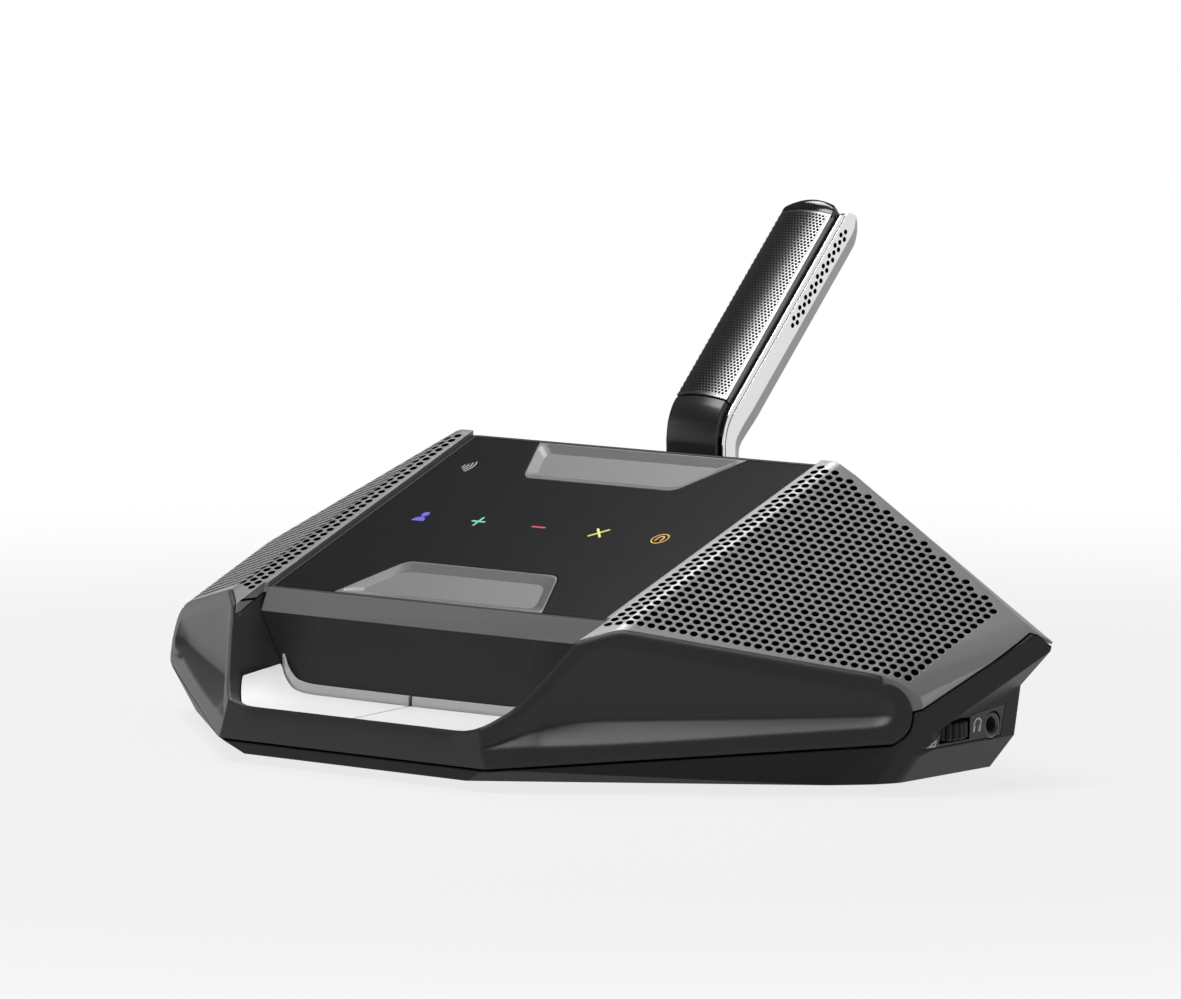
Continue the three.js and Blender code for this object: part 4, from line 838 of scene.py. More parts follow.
# The deck under the glass with the lip in front of it and the recess's back wall under the lip
def panelCarrier():
    rim = panel["lipTop"][0] + panel["rim"]
    glass = cut(meet(block((-far, rim, -far), (far, panel["rear"][0] + panel["gap"], far)),
                     betweenGrilles(-panel["border"])), underPanel(panel["glass"] + panel["gap"] / 2))
    inside = meet(behindRecess(panel["carrierWall"]), underPanel(panel["glass"] + panel["deck"]),
                  wideBlock(high=(far, housing["bodyDepth"] - panel["carrierWall"], far)))
    opening = block((-far, housing["bodyDepth"] - panel["deckRear"], -far), (far, far, panel["deckTop"]))
    body = meet(whole, betweenGrilles(0), behindRecess(0), underPanel(0))
    low = wideBlock(high=(far, far, recess["wellFloor"] + panel["floorGap"]))
    return cut(body, glass, inside, opening, low)


rimY = panel["lipTop"][0] + panel["rim"] + panel["gap"]
rearY, plaqueLength = panel["rear"][0], panel["plaqueLength"]
wide, narrow = panel["plaqueWide"], panel["plaqueNarrow"]
squareEnd = 0.02  # a corner that stays all but square
plaqueRounds = {"front": [squareEnd, squareEnd, panel["plaqueCorner"], panel["plaqueCorner"]],
                "rear": [panel["plaqueCorner"], panel["plaqueCorner"], squareEnd, squareEnd]}
plaqueOutlines = {
    "front": [(-wide, rimY), (wide, rimY), (narrow, rimY + plaqueLength), (-narrow, rimY + plaqueLength)],
    "rear": [(-narrow, rearY - plaqueLength), (narrow, rearY - plaqueLength), (wide, rearY), (-wide, rearY)],
}


# Each corner of the outline becomes an arc-like curve that starts the given length before it
def roundedCorners(outline, length, steps=8):
    points = np.asarray(outline, float)
    length = np.broadcast_to(length, len(points))[:, None]
    before, after = np.roll(points, 1, axis=0) - points, np.roll(points, -1, axis=0) - points
    start = points + before / np.linalg.norm(before, axis=1, keepdims=True) * length
    end = points + after / np.linalg.norm(after, axis=1, keepdims=True) * length
    share = np.linspace(0, 1, steps)[None, :, None]
    curve = ((1 - share) ** 2 * start[:, None] + 2 * share * (1 - share) * points[:, None]
             + share ** 2 * end[:, None])
    return curve.reshape(-1, 2)


# The glass fills the panel's slope, with a notch for each plaque
def touchGlass():
    slab = cut(meet(block((-far, rimY, -far), (far, panel["rear"][0], far)), underPanel(0),
                    betweenGrilles(-panel["border"] - panel["gap"])), underPanel(panel["glass"]))
    notches = [prism("z", roundedCorners(grown(outline, panel["gap"]), plaqueRounds[place]), 0, far)
               for place, outline in plaqueOutlines.items()]
    return cut(slab, *notches)


# A plaque is a shallow tray: its walls lean from the rim down to a smaller floor
def plaque(outline, rounds):
    slab = cut(meet(prism("z", roundedCorners(outline, rounds), 0, far), underPanel(0)),
               underPanel(panel["glass"]))
    low = roundedCorners(grown(outline, -panel["plaqueRim"]), panel["plaqueRound"])

    def level(points, lift):
        y = points[:, 1]
        return np.column_stack([points, panel["lipTop"][1] + (y - panel["lipTop"][0]) * panelRise + lift])
    step, lift = panel["plaqueStep"], panel["plaqueLift"]
    steepness = (panel["plaqueRim"] - step) / panel["plaqueDrop"]
    spread = roundedCorners(grown(outline, -step + lift * steepness), panel["plaqueRound"])
    hollow = loft([level(low, -panel["plaqueDrop"]), level(spread, lift)])
    return cut(slab, hollow)


# The wall under the lip and the strips beside the panel are darker than the lip's own face and rim: their
# darker plastic is painted shade under the lip's overhang and in the slits beside the glass
def shadedCarrierFaces(centre, normal):
    return ((centre[:, 2] < panel["lipBottom"][1] - panel["lipMargin"])
            | (centre[:, 1] > rimY + panel["rimMargin"]))


# The housing's edges are rounded by their finish, so these pieces get no bevel
rounding = {"bevel": 0, "flatten": 0.05, "smooth": 9}
piece("base_shell", baseCasting(), "housing", "cast_metal", castPaint, ["base_casting"], **rounding)
piece("bezel", frontBezel(), "housing", "dark_plastic", darkPlastic, ["front_bezel"],
      **{**rounding, "smooth": 5})
# The wall under the lip and the strips beside the glass take the darker plastic as painted shade
piece("carrier", panelCarrier(), "housing", "grey_plastic", lipPlastic, ["panel_carrier"],
      also=[(recessShadePlastic, shadedCarrierFaces)], **rounding)
piece("glass", touchGlass(), "housing", "touch_glass", panelGlass, ["touch_panel"], bevel=0.12)
for place, outline in plaqueOutlines.items():
    piece(f"{place}_plate", plaque(outline, plaqueRounds[place]), "housing", "satin_trim", plaqueSatin,
          [f"{place}_plaque"], bevel=0.35, segments=3, angle=10)
print("stage: casting, bezel and panel")


# Keys and the light bars behind them, carried along the edge lines
def keyBody():
    f, r = keyFront[:, None], keyRear[:, None]
    down = np.array([0, 0, keyEdge["thickness"]])
    rings = np.concatenate([f, r, r - down, f - down], axis=1)
    return loft(rings)


def keyLight():
    near = keyRear + (0, keyEdge["gap"], 0)
    near[0, 0] = keyEdge["lightStart"]
    wide = (0, keyEdge["lightWidth"], 0)
    up, down = (0, 0, keyEdge["lightRise"]), (0, 0, -keyEdge["lightDrop"])
    return loft(np.stack([near + up, near + wide + up, near + wide + down, near + down], axis=1))


piecePair("talk_key", keyBody(), "key_SIDE_body", "white_plastic", keyPlastic, ["key"], bevel=0.2, flatten=0)
piecePair("light_bar", keyLight(), "key_SIDE_body", "light_plastic", keyLightPlastic, ["key_light"],
          bevel=0.2, flatten=0)


# The rim's radius falls between the ribs by the absolute sine of the angle, raised to the rib's shape
def ribbedWheel():
    x, y, z = control["wheelCentre"]
    steps = control["ribs"] * control["ribSteps"]
    angle = np.arange(steps) * 2 * np.pi / steps
    wave = np.abs(np.sin(angle * control["ribs"] / 2)) ** control["ribShape"]
    radius = control["wheelRadius"] - control["ribDepth"] * (1 - wave)
    half, chamfer = control["wheelHeight"] / 2, control["wheelChamfer"]
    rings = [np.column_stack([x + (radius - inset) * np.cos(angle), y + (radius - inset) * np.sin(angle),
                              np.full(len(angle), level)])
             for inset, level in ((chamfer, z - half), (0, z - half + chamfer), (0, z + half - chamfer),
                                  (chamfer, z + half))]
    shaft = rod(control["shaft"], (x, y, 0), (x, y, control["shaftTop"]), control["shaftSides"])
    return cut(loft(rings), shaft)


# The plate follows the side wall's plane, and is as deep as its pocket
def sidePlate():
    outline = control["plate"]
    plate = meet(whole, prism("x", outline, control["jackCentre"][0] - control["jackLength"], far),
                 beyond(wall, control["plateDepth"]))
    return cut(plate, wheelSpace(), jackSpace(control["jackGap"]))


# A profile of radius and place is turned round the socket's axis
def headphoneSocket():
    x, y, z = control["jackCentre"]
    ring, bore, end = control["jackRing"], control["jackBore"], x + control["jackProud"]
    back = control["board"] + control["boardWall"] + control["boardGap"]
    chamfer, floorAt = control["jackChamfer"], back + control["jackFloor"]
    pole = 0.001  # stands for the axis, where the ends close
    profile = [(pole, back), (ring, back), (ring, end - chamfer), (ring - chamfer, end),
               (bore + chamfer, end), (bore, end - chamfer), (bore, floorAt), (pole, floorAt)]
    sides = control["jackSides"]
    turn = np.arange(sides) * 2 * np.pi / sides
    rings = [np.column_stack([np.full(sides, at), y + r * np.cos(turn), z + r * np.sin(turn)])
             for r, at in profile]
    return loft(rings)


piecePair("volume_dial", ribbedWheel(), "wheel_SIDE_body", "black_plastic", wheelPlastic, ["volume_wheel"],
          bevel=0, flatten=0, smooth=50)
piecePair("control_plate", sidePlate(), "housing", "light_plastic", platePlastic, ["side_plate"], bevel=0.15)
piecePair("headphone_socket", headphoneSocket(), "housing", "black_plastic", socketPlastic,
          ["headphone_jack"], bevel=0, flatten=0, smooth=40)


cover = {"gap": 0.3, "collarY": 125.6, "collarHalf": (12, 6), "collarFrom": 52, "collarTo": 62.4,
         "landing": (12.3, 6.9), "pocketHalf": (8.3, 4.2), "pocketFrom": 53.5}


# The hood over the tray, with a collar that takes the microphone's plug
def rearCover():
    gap, y, top = cover["gap"], cover["collarY"], cover["collarTo"]
    shell = cut(rearForm(0, housing["bodyDepth"] + gap), rearForm(housing["shellWall"], 0),
                wideBlock(high=(far, far, tray["top"] + gap)))
    halfX, halfY = cover["collarHalf"]
    collar = block((-halfX, y - halfY, cover["collarFrom"]), (halfX, y + halfY, top))
    landingX, landingY = cover["landing"]
    landing = block((-landingX, y - landingY, top), (landingX, far, far))
    pocketX, pocketY = cover["pocketHalf"]
    pocket = block((-pocketX, y - pocketY, cover["pocketFrom"]), (pocketX, y + pocketY, far))
    return cut(join(shell, collar), landing, pocket)


piece("rear_hood", rearCover(), "housing", "cast_metal", castPaint, ["rear_cover"], **rounding)
print("stage: keys, side controls and rear cover")

printing = {"lift": 0.03, "sink": 0.05, "line": 0.62, "waves": (1.3, 2.3, 3.3, 4.3), "wave": 0.34,
            "waveHalf": 38}


# Meshes put together as they are, without a boolean
def gathered(meshes):
    bm = bmesh.new()
    for mesh in meshes:
        bm.from_mesh(mesh)
    made = bpy.data.meshes.new("gathered")
    bm.to_mesh(made)
    bm.free()
    return made


# Points on a circle from one angle to another, in degrees
def arcPoints(radius, start, end, count, centre=(0, 0)):
    angle = np.radians(np.linspace(start, end, count))
    return np.column_stack([centre[0] + radius * np.cos(angle), centre[1] + radius * np.sin(angle)])


# A line of even width along the given points
def stroke(points, width):
    points = np.asarray(points, float)
    along = np.gradient(points, axis=0)
    along /= np.linalg.norm(along, axis=1, keepdims=True)
    side = np.column_stack([-along[:, 1], along[:, 0]]) * width / 2
    return np.vstack([points + side, (points - side)[::-1]])


slopeCos = 1 / math.hypot(1, panelRise)


# Outlines in millimetres on the panel's slope, about a middle point given by its place in plan
def onPanel(outlines, middle):
    made = []
    for outline in outlines:
        flat = np.asarray(outline, float)
        x, y = middle[0] + flat[:, 0], middle[1] + flat[:, 1] * slopeCos
        z = panel["lipTop"][1] + (y - panel["lipTop"][0]) * panelRise
        made.append(loft([np.column_stack([x, y, z + lift])
                          for lift in (-printing["sink"], printing["lift"])]))
    return gathered(made)


wallUp = np.array([0, 0, 1.0]) - wall[0] * wall[0][2]
wallUp /= np.linalg.norm(wallUp)
wallAcross = np.cross(wallUp, wall[0])


# Outlines on the side plate, about a middle point given by depth and height
def onWall(outlines, middle):
    y, z = middle
    x = (wall[1] - wall[0][1] * y - wall[0][2] * z) / wall[0][0]
    start = np.array([x, y, z])
    made = []
    for outline in outlines:
        flat = np.asarray(outline, float)
        rings = [start + flat[:, :1] * wallAcross + flat[:, 1:] * wallUp + wall[0] * lift
                 for lift in (-printing["sink"], printing["lift"])]
        made.append(loft(rings))
    return gathered(made)


# A rectangle about its middle, turned by so many degrees
def bar(width, height, turn=0.0):
    points = np.array([(-width, -height), (width, -height), (width, height), (-width, height)]) / 2
    c, s = math.cos(math.radians(turn)), math.sin(math.radians(turn))
    return points @ np.array([[c, s], [-s, c]])


# A ring in two halves, so that each is one closed outline
def halfRings(outer, inner):
    return [np.vstack([arcPoints(outer, a, a + 180, 25), arcPoints(inner, a + 180, a, 25)]) for a in (0, 180)]


# An arc of even width about the direction to the right
def waveArc(radius):
    half, inner = printing["waveHalf"], radius - printing["wave"]
    return np.vstack([arcPoints(radius, -half, half, 12), arcPoints(inner, half, -half, 12)])


# Each symbol's place on the panel, its colour and its outlines
line = printing["line"]
symbols = {
    "symbol_person": ((-38.6, 65.4), (0.10, 0.08, 0.62),
                      [arcPoints(1.1, 0, 345, 24, (0, 1.2)), arcPoints(2.0, 0, 180, 20, (0, -2.1))]),
    "symbol_plus": ((-20.0, 65.6), (0.13, 0.60, 0.42),
                    [bar(4.4, line), bar(line, 1.85) + (0, 1.26), bar(line, 1.85) - (0, 1.26)]),
    "symbol_minus": ((-0.1, 65.6), (0.55, 0.025, 0.06), [bar(4.4, line)]),
    "symbol_cross": ((19.6, 65.6), (0.72, 0.72, 0.14),
                     [bar(5.6, line, 45), bar(2.4, line, 135) + (-1.1, 1.1),
                      bar(2.4, line, 135) + (1.1, -1.1)]),
    "symbol_ring": ((39.4, 65.6), (0.72, 0.36, 0.045),
                    [*halfRings(2.4, 2.05),
                     stroke(np.vstack([[(-0.85, -1.1)], arcPoints(0.85, 180, 0, 12, (0, 0.35)),
                                       [(0.85, -1.1)]]), 0.42)]),
    "symbol_waves": ((-48.2, 89.2), (0.42, 0.42, 0.42), [waveArc(radius) for radius in printing["waves"]]),
}
for name, (middle, color, outlines) in symbols.items():
    piece(name, onPanel(outlines, middle), "housing", "touch_glass",
          finish(name + "Print", color, 0.45, 0, 4000, 0.02), bevel=0, flatten=0)
headphones = [stroke(arcPoints(1.35, 200, -20, 20, (0, 0.2)), 0.4), bar(0.75, 1.5) + (-1.15, -0.95),
              bar(0.75, 1.5) + (1.15, -0.95)]
wedge = [[(-2.0, -0.8), (1.9, -0.8), (1.9, -0.45), (-0.7, -0.45)],
         [(1.5, -0.4), (1.9, -0.4), (1.9, 0.9), (1.5, 0.7)],
         [(-0.9, -0.4), (-0.2, -0.4), (1.45, 0.3), (1.45, 0.68)]]
for name, outlines, middle in (("symbol_headphones", headphones, (87.6, 14.6)),
                               ("symbol_volume", wedge, (69.7, 11.75))):
    piecePair(name, onWall(outlines, middle), "housing", "light_plastic", whitePrint, bevel=0, flatten=0)
print("stage: printed symbols")

mic = {"half": 9.2, "backHalf": 8.0, "depth": 10.3, "bevelAt": 6.3, "wall": 1.3, "inner": 6.9,
       "frontHalf": 8.15, "crown": 1.45, "near": -2.1, "coreHalf": 7.6, "seat": -0.15,
       "low": (128.44, 83.4), "high": (165.9, 125.0),
       "frontLine": [(122, 62.7), (122, 66), (122, 69), (122, 71.6), (122.7, 75.3), (124.6, 79),
                     (128.44, 83.4), (132.45, 87.86)],
       "rearLine": [(129.5, 62.7), (129.5, 65), (129.5, 67), (129.5, 69), (130.3, 70.7), (132.2, 72.7),
                    (136.1, 76.5), (140.11, 80.96)],
       "frontEnd": [(163, 121.78), (165.9, 125.0), (167.4, 126.6), (168.2, 127.4), (168.8, 127.9)],
       "rearEnd": [(170.66, 114.88), (173.3, 118.1), (174.1, 120.8), (173.9, 123), (172.9, 125)],
       "kneePoints": 36, "endPoints": 17, "crownPoints": 19}
micAlong = np.array([mic["high"][0] - mic["low"][0], mic["high"][1] - mic["low"][1]])
micAlong /= np.linalg.norm(micAlong)
micDown = np.array([micAlong[1], -micAlong[0]])


# Points on the straight part: across, depth behind the frame's front edge, and length from the knee
def onMic(x, depth, length):
    x, depth, length = np.broadcast_arrays(np.asarray(x, float), depth, length)
    plan = np.array(mic["low"]) + length[..., None] * micAlong + depth[..., None] * micDown
    return np.concatenate([x[..., None], plan], axis=-1)


# The mesh's front is a parabola across: highest in the middle, and at its foot at frontHalf
def crownDepth(x, inset=0.0):
    return mic["near"] + inset - mic["crown"] * (1 - (x / mic["frontHalf"]) ** 2)


# A section of across and depth values carried from station to station of a front and a rear line
def carried(section, frontLine, rearLine):
    section = np.asarray(section, float)
    share = section[:, 1][None, :, None] / mic["depth"]
    frontLine, rearLine = np.asarray(frontLine)[:, None], np.asarray(rearLine)[:, None]
    plan = frontLine + (rearLine - frontLine) * share
    x = np.broadcast_to(section[:, 0][None, :, None], (*plan.shape[:2], 1))
    return loft(np.concatenate([x, plan], axis=-1))


kneeFront, kneeRear = (smoothLine(mic[line], mic["kneePoints"]) for line in ("frontLine", "rearLine"))
endFront, endRear = (smoothLine(mic[line], mic["endPoints"]) for line in ("frontEnd", "rearEnd"))

# The frame's two fine lines, its rounds at the front edge and at the back's two corners, and its vents by
# depth, first length and count. The end outline, by depth and length, keeps what lies inside it
micRim = {"line": (1.15, 1.3, 1.5, 1.65), "lineDepth": 0.32, "frontRound": 0.4, "backRounds": (0.5, 0.6),
          "ventRadius": 0.66, "ventPitch": 3.303, "ventSides": 14, "ventInside": 0.6, "ventOutside": 1,
          "ventRows": [(3.25, 26.13, 9), (4.12, 24.48, 10), (5.0, 26.13, 9)], "endHalf": 12.0,
          "endOutline": [(-8, -40), (-8, 53.6), (-1, 55.3), (0.3, 56.5), (1.3, 57.8), (2.7, 59.1),
                         (4.2, 59.7), (5.6, 59.6), (7.0, 58.9), (8.3, 57.6), (9.3, 56.0), (10.2, 53.8),
                         (14, 48), (14, -40)],
          "backFacing": 0.2, "frontFacing": -0.3, "ventFacing": 0.3, "ventDepths": (2.5, 5.8),
          "ventAcross": 8.0}


# A trough open to the front: its section is carried along the knee and the straight part to the end
def micFrame():
    h, b, d, w = mic["half"], mic["bevelAt"], mic["depth"], mic["wall"]
    line, sunk = micRim["line"], h - micRim["lineDepth"]
    right = [(h, 0), (h, line[0]), (sunk, line[1]), (sunk, line[2]), (h, line[3]), (h, b),
             (mic["backHalf"], d)]
    rounds = [micRim["frontRound"], *[squareEnd] * len(line), *micRim["backRounds"]]
    outer = [*right, *[(-x, t) for x, t in right[::-1]]]
    inner = [(-(h - w), 0), (-(h - w), b), (-mic["inner"], d - w), (mic["inner"], d - w), (h - w, b),
             (h - w, 0)]
    section = roundedCorners([*outer, *inner], [*rounds, *rounds[::-1], *[squareEnd] * len(inner)], 5)
    frameMesh = carried(section, np.vstack([kneeFront, endFront]), np.vstack([kneeRear, endRear]))
    vents = []
    near, out = h - w - micRim["ventInside"], h + micRim["ventOutside"]
    for depth, start, count in micRim["ventRows"]:
        for place in start + np.arange(count) * micRim["ventPitch"]:
            centre = onMic(0, depth, place)
            for sign in (1, -1):
                vents.append(rod(micRim["ventRadius"], centre + (sign * near, 0, 0),
                                 centre + (sign * out, 0, 0), micRim["ventSides"]))
    depths, lengths = np.array(micRim["endOutline"], float).T
    kept = loft([onMic(np.full(len(depths), x), depths, lengths)
                 for x in (-micRim["endHalf"], micRim["endHalf"])])
    return cut(meet(frameMesh, kept), *vents)


crownX = np.linspace(-mic["frontHalf"], mic["frontHalf"], mic["crownPoints"])
crownFront = np.column_stack([crownX, crownDepth(crownX)])


foot = {"stations": 26, "frontTo": (125.75, 80.3), "rearTo": (133.37, 73.84), "core": 1.6}


# The plain cover below the mesh, with a core that fills the frame
def micCover():
    near = np.vstack([kneeFront[:foot["stations"]], [foot["frontTo"]]])
    back = np.vstack([kneeRear[:foot["stations"]], [foot["rearTo"]]])
    edge, core, seat, deep = mic["frontHalf"], mic["coreHalf"], mic["seat"], foot["core"]
    return carried([*crownFront, (edge, seat), (core, seat), (core, deep), (-core, deep), (-core, seat),
                    (-edge, seat)], near, back)


# A bar between two rows of depth values at the same places across, from one length to another
def micBar(across, upper, lower, start, end):
    x, depth = np.concatenate([across, across[::-1]]), np.concatenate([upper, lower[::-1]])
    return loft([onMic(x, depth, length) for length in (start, end)])


lattice = {"pitch": 0.98, "hole": 0.39, "wall": 0.3, "from": -3.7, "to": 54.4, "half": 7.7, "row": 0.866,
           "start": 0.5, "end": 0.3, "inward": 0.97, "sides": 12, "railFrom": -3.75, "lowRailTo": -2.9,
           "highRailFrom": 53.9, "railTo": 54.7, "railOver": 0.4, "railTop": 0.12, "railDeep": 0.7,
           "sidePoints": 4, "endPoints": 19}
liner = {"half": 7.5, "points": 15, "gap": 0.85, "deep": 1.5, "from": -3.6, "to": 54.6}
cap = {"bendAt": 6.0, "backHalf": 6.5, "backDepth": 8.6, "middle": (0, 3.0), "from": 54.8, "roundFrom": 55.4,
       "turnTo": 88, "steps": 12, "shrink": 0.42, "rise": 2.9, "dome": 1.2}


# Six-sided cells with a round hole each, laid in rows along the mesh and bent over its crown
def micMesh():
    pitch, half, sides = lattice["pitch"], lattice["half"], lattice["sides"]
    rows = int((lattice["to"] - lattice["from"]) / (pitch * lattice["row"]))
    columns = int(2 * half / pitch) + 1
    j, i = np.meshgrid(np.arange(rows), np.arange(columns), indexing="ij")
    x = (i + 0.5 * (j % 2)) * pitch - half
    length = lattice["from"] + lattice["start"] + j * pitch * lattice["row"]
    keep = (np.abs(x) <= half) & (length < lattice["to"] - lattice["end"])
    centre = np.column_stack([x[keep], length[keep]])
    k = np.arange(sides)
    n, angle = (k + 1) % sides, np.radians(k * 360 / sides)
    reach = np.where(k % 2 == 1, pitch / math.sqrt(3), pitch / 2)
    ringOut = np.column_stack([np.cos(angle), np.sin(angle)]) * reach[:, None]
    ringIn = np.column_stack([np.cos(angle), np.sin(angle)]) * lattice["hole"]
    flat = np.concatenate([centre[:, None] + ringOut, centre[:, None] + ringIn], axis=1)
    outside = onMic(flat[..., 0], crownDepth(flat[..., 0]), flat[..., 1])
    inside = onMic(flat[..., 0] * lattice["inward"], crownDepth(flat[..., 0], lattice["wall"]), flat[..., 1])
    points = np.concatenate([outside, inside], axis=1).reshape(-1, 3)
    rim = (np.arange(len(centre)) * 4 * sides)[:, None]
    hole, farRim, farHole = rim + sides, rim + 2 * sides, rim + 3 * sides
    faces = [np.stack([a + k, a + n, b + n, b + k], axis=-1).reshape(-1, 4)
             for a, b in ((rim, hole), (hole, farHole), (farHole, farRim))]
    cells = facedOut(meshOf(points, np.vstack(faces).tolist()))
    print("mesh cells:", len(centre))
    edge, overlap, rails = mic["frontHalf"], half - lattice["railOver"], []
    for low, high in ((-edge, -overlap), (overlap, edge)):
        across = np.linspace(low, high, lattice["sidePoints"])
        rails.append(micBar(across, crownDepth(across, lattice["railTop"]), np.full(len(across), mic["seat"]),
                            lattice["railFrom"], lattice["railTo"]))
    across = np.linspace(-edge, edge, lattice["endPoints"])
    for start, end in ((lattice["railFrom"], lattice["lowRailTo"]),
                       (lattice["highRailFrom"], lattice["railTo"])):
        rails.append(micBar(across, crownDepth(across, lattice["railTop"]),
                            crownDepth(across, lattice["railDeep"]), start, end))
    return gathered([cells, *rails])


# A dark bar behind the mesh, so that nothing shows through its holes; its near-black is painted shade seen
# through the holes
def micLiner():
    x = np.linspace(-liner["half"], liner["half"], liner["points"])
    return micBar(x, crownDepth(x, liner["gap"]), np.full(len(x), liner["deep"]), liner["from"], liner["to"])


# The cap's outline shrinks and climbs along a quarter circle, higher in the middle than at the sides
def micCap():
    edge, core, seat = mic["frontHalf"], mic["coreHalf"], mic["seat"]
    outline = np.array([*crownFront, (edge, seat), (core, seat), (core, cap["bendAt"]),
                        (cap["backHalf"], cap["backDepth"]), (-cap["backHalf"], cap["backDepth"]),
                        (-core, cap["bendAt"]), (-core, seat), (-edge, seat)])
    centre = np.array(cap["middle"])
    rings = [onMic(outline[:, 0], outline[:, 1], cap["from"])]
    for turn in np.radians(np.linspace(0, cap["turnTo"], cap["steps"])):
        shrink = 1 - cap["shrink"] * (1 - math.cos(turn))
        ring = centre + (outline - centre) * shrink
        dome = cap["dome"] * (1 - (ring[:, 0] / edge) ** 2) * math.sin(turn)
        rings.append(onMic(ring[:, 0], ring[:, 1], cap["roundFrom"] + cap["rise"] * math.sin(turn) + dome))
    return loft(rings)


def micBackFaces(centre, normal):
    return normal[:, 1:] @ micDown > micRim["backFacing"]


def micFrontFaces(centre, normal):
    return normal[:, 1:] @ micDown < micRim["frontFacing"]


# A vent's walls face along the microphone, and lie within the vents' depths near the frame's sides. They are
# painted near-black: painted shade inside the vents
def shadedVentWalls(centre, normal):
    depth = (centre[:, 1:] - mic["low"]) @ micDown
    low, high = micRim["ventDepths"]
    return ((np.abs(normal[:, 0]) < micRim["ventFacing"]) & (depth > low) & (depth < high)
            & (np.abs(centre[:, 0]) > micRim["ventAcross"]))


piece("mic_frame", micFrame(), "microphone", "bright_metal", satinChrome, ["microphone_frame"], bevel=0,
      flatten=0, smooth=30,
      also=[(satinGrey, micBackFaces), (brightChrome, micFrontFaces), (paintedShadeBlack, shadedVentWalls)])
piece("mic_cover", micCover(), "microphone", "dark_plastic", coverPlastic, ["microphone_cover"], bevel=0.2)
piece("mic_mesh", micMesh(), "microphone", "black_mesh", meshPaint, ["microphone_mesh"], bevel=0, flatten=0)
piece("mic_liner", micLiner(), "microphone", "black_mesh", paintedShadeBlack, bevel=0)
piece("mic_cap", micCap(), "microphone", "gloss_black", glossBlack, ["microphone_cap"], bevel=0.25)
print("stage: microphone")

studio = {"floorHalf": 3.0, "floorColor": (0.34, 0.34, 0.34), "nearShare": 0.80, "nearReach": 0.24,
          "farReach": 0.62, "worldColor": (0.92, 0.93, 0.95), "worldStrength": 0.16, "whiteUpTo": 0.07,
          "dimFrom": 0.24, "ceiling": 0.05,
          "lamps": {"ridgeLight": ((-0.64, 0.49, 1.15), (0, 0, 0.03), 0.45, 6.5),
                    "topLight": ((-0.16, -0.42, 1.25), (0, 0, 0.03), 0.62, 15.5),
                    "sideLight": ((1.25, 0.45, 0.70), (0.05, 0, 0.03), 0.5, 3.0)}}


# One for camera, glossy and transmission rays, which see the white background, and zero for all others
def seenRays(tree):
    rays = tree.nodes.new("ShaderNodeLightPath")
    total = rays.outputs["Is Camera Ray"]
    for kind in ("Is Glossy Ray", "Is Transmission Ray"):
        either = tree.nodes.new("ShaderNodeMath")
        either.operation = "MAXIMUM"
        tree.links.new(total, either.inputs[0])
        tree.links.new(rays.outputs[kind], either.inputs[1])
        total = either.outputs[0]
    return total


# The floor shows more plain white with its distance from the unit, and keeps the soft shadow near it
def floorMaterial():
    material = bpy.data.materials.new("paleFloor")
    material.use_nodes = True
    tree = material.node_tree
    tree.nodes.remove(tree.nodes["Principled BSDF"])
    matte = tree.nodes.new("ShaderNodeBsdfDiffuse")
    matte.inputs["Color"].default_value = (*studio["floorColor"], 1)
    white = tree.nodes.new("ShaderNodeEmission")
    place, away = tree.nodes.new("ShaderNodeTexCoord"), tree.nodes.new("ShaderNodeVectorMath")
    away.operation = "LENGTH"
    tree.links.new(place.outputs["Object"], away.inputs[0])
    share = tree.nodes.new("ShaderNodeMapRange")
    share.interpolation_type = "SMOOTHSTEP"
    for socket, value in (("From Min", studio["nearReach"]), ("From Max", studio["farReach"]),
                          ("To Min", studio["nearShare"]), ("To Max", 1.0)):
        share.inputs[socket].default_value = value
    tree.links.new(away.outputs["Value"], share.inputs["Value"])
    seen = tree.nodes.new("ShaderNodeMath")
    seen.operation = "MULTIPLY"
    tree.links.new(seenRays(tree), seen.inputs[0])
    tree.links.new(share.outputs["Result"], seen.inputs[1])
    mixed = tree.nodes.new("ShaderNodeMixShader")
    tree.links.new(seen.outputs[0], mixed.inputs["Fac"])
    tree.links.new(matte.outputs[0], mixed.inputs[1])
    tree.links.new(white.outputs[0], mixed.inputs[2])
    tree.links.new(mixed.outputs[0], tree.nodes["Material Output"].inputs["Surface"])
    return material


floor = bpy.data.meshes.new("floor")
half = studio["floorHalf"]
floor.from_pydata([(-half, -half, 0), (half, -half, 0), (half, half, 0), (-half, half, 0)], [],
                  [(0, 1, 2, 3)])
floor.materials.append(floorMaterial())
floorObject = bpy.data.objects.new("floor", floor)
bpy.context.scene.collection.objects.link(floorObject)

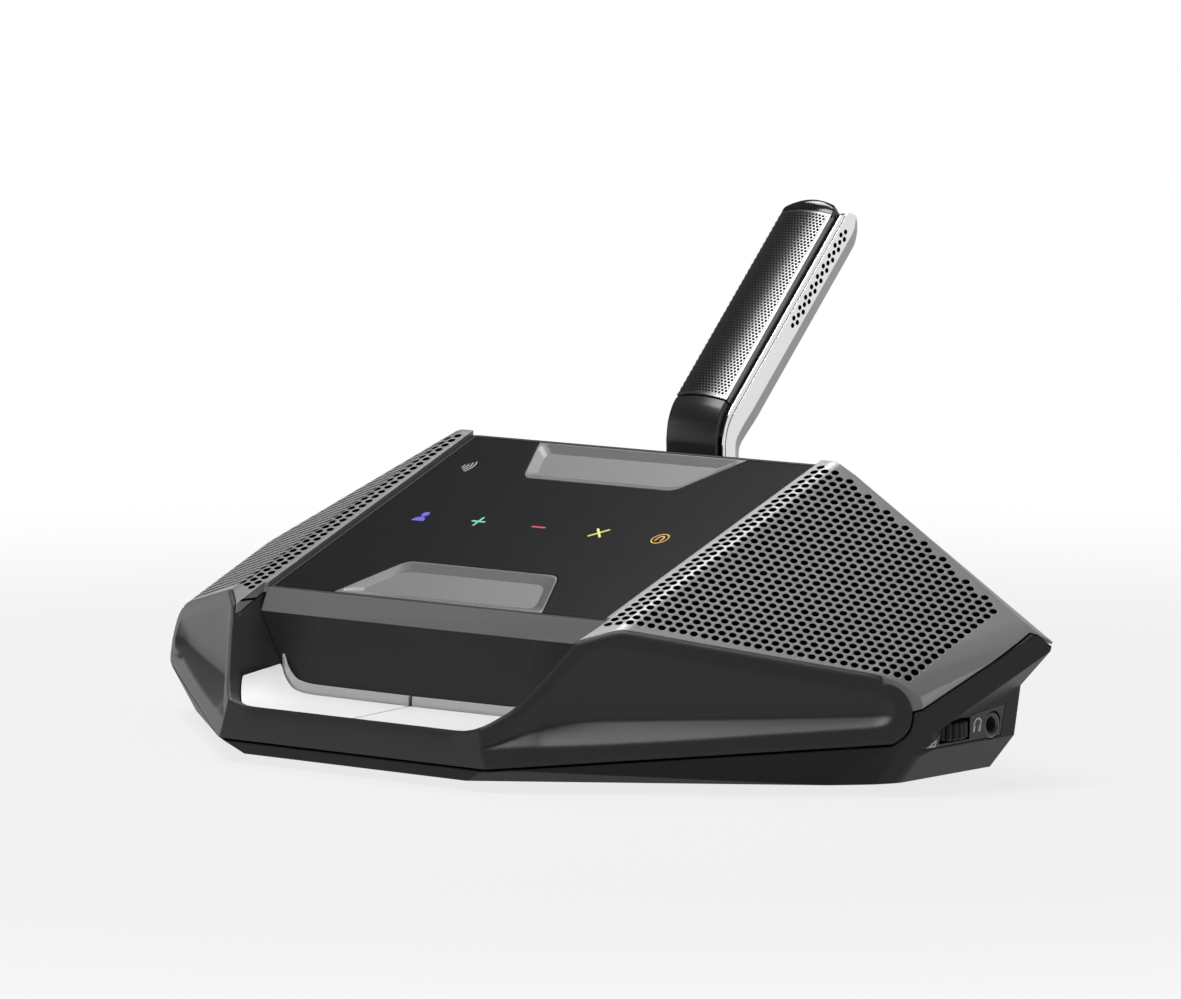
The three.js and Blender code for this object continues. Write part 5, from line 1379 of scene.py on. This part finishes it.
# The backdrop is white all round up to a low height, and the ceiling over the lamps is dark
world = bpy.data.worlds.new("studioWorld")
bpy.context.scene.world = world
world.use_nodes = True
tree = world.node_tree
tree.nodes.clear()
lit, white = tree.nodes.new("ShaderNodeBackground"), tree.nodes.new("ShaderNodeBackground")
lit.inputs["Color"].default_value = (*studio["worldColor"], 1)
lit.inputs["Strength"].default_value = studio["worldStrength"]
white.inputs["Color"].default_value = (1, 1, 1, 1)
direction, split = tree.nodes.new("ShaderNodeTexCoord"), tree.nodes.new("ShaderNodeSeparateXYZ")
tree.links.new(direction.outputs["Generated"], split.inputs[0])
ceiling = tree.nodes.new("ShaderNodeMapRange")
ceiling.interpolation_type = "SMOOTHSTEP"
for socket, value in (("From Min", studio["whiteUpTo"]), ("From Max", studio["dimFrom"]), ("To Min", 1.0),
                      ("To Max", studio["ceiling"])):
    ceiling.inputs[socket].default_value = value
tree.links.new(split.outputs["Z"], ceiling.inputs["Value"])
tree.links.new(ceiling.outputs["Result"], white.inputs["Strength"])
mixed = tree.nodes.new("ShaderNodeMixShader")
tree.links.new(seenRays(tree), mixed.inputs["Fac"])
tree.links.new(lit.outputs[0], mixed.inputs[1])
tree.links.new(white.outputs[0], mixed.inputs[2])
tree.links.new(mixed.outputs[0], tree.nodes.new("ShaderNodeOutputWorld").inputs["Surface"])

for name, (place, target, size, power) in studio["lamps"].items():
    lamp = bpy.data.lights.new(name, "AREA")
    lamp.energy, lamp.size = power, size
    lampObject = bpy.data.objects.new(name, lamp)
    lampObject.location = place
    lampObject.rotation_euler = (Vector(target) - Vector(place)).to_track_quat("-Z", "Y").to_euler()
    bpy.context.scene.collection.objects.link(lampObject)

view = {"azimuth": 42.5, "elevation": 5.772, "place": (1.4472, -1.4953 + frontEdge, 0.2763),
        "focalPixels": 8866.5, "imageWidth": 1181, "sensor": 36, "clip": (0.1, 20)}
camera = bpy.data.cameras.new("camera")
camera.sensor_width = view["sensor"]
camera.lens = view["focalPixels"] * view["sensor"] / view["imageWidth"]
camera.clip_start, camera.clip_end = view["clip"]
cameraObject = bpy.data.objects.new("camera", camera)
bpy.context.scene.collection.objects.link(cameraObject)
bpy.context.scene.camera = cameraObject
azimuth, elevation = math.radians(view["azimuth"]), math.radians(view["elevation"])
forward = Vector((-math.sin(azimuth) * math.cos(elevation), math.cos(azimuth) * math.cos(elevation),
                  -math.sin(elevation)))
cameraObject.location = view["place"]
cameraObject.rotation_euler = forward.to_track_quat("-Z", "Y").to_euler()
bpy.context.scene.view_settings.view_transform = "Standard"
print("stage: floor, lights and camera")
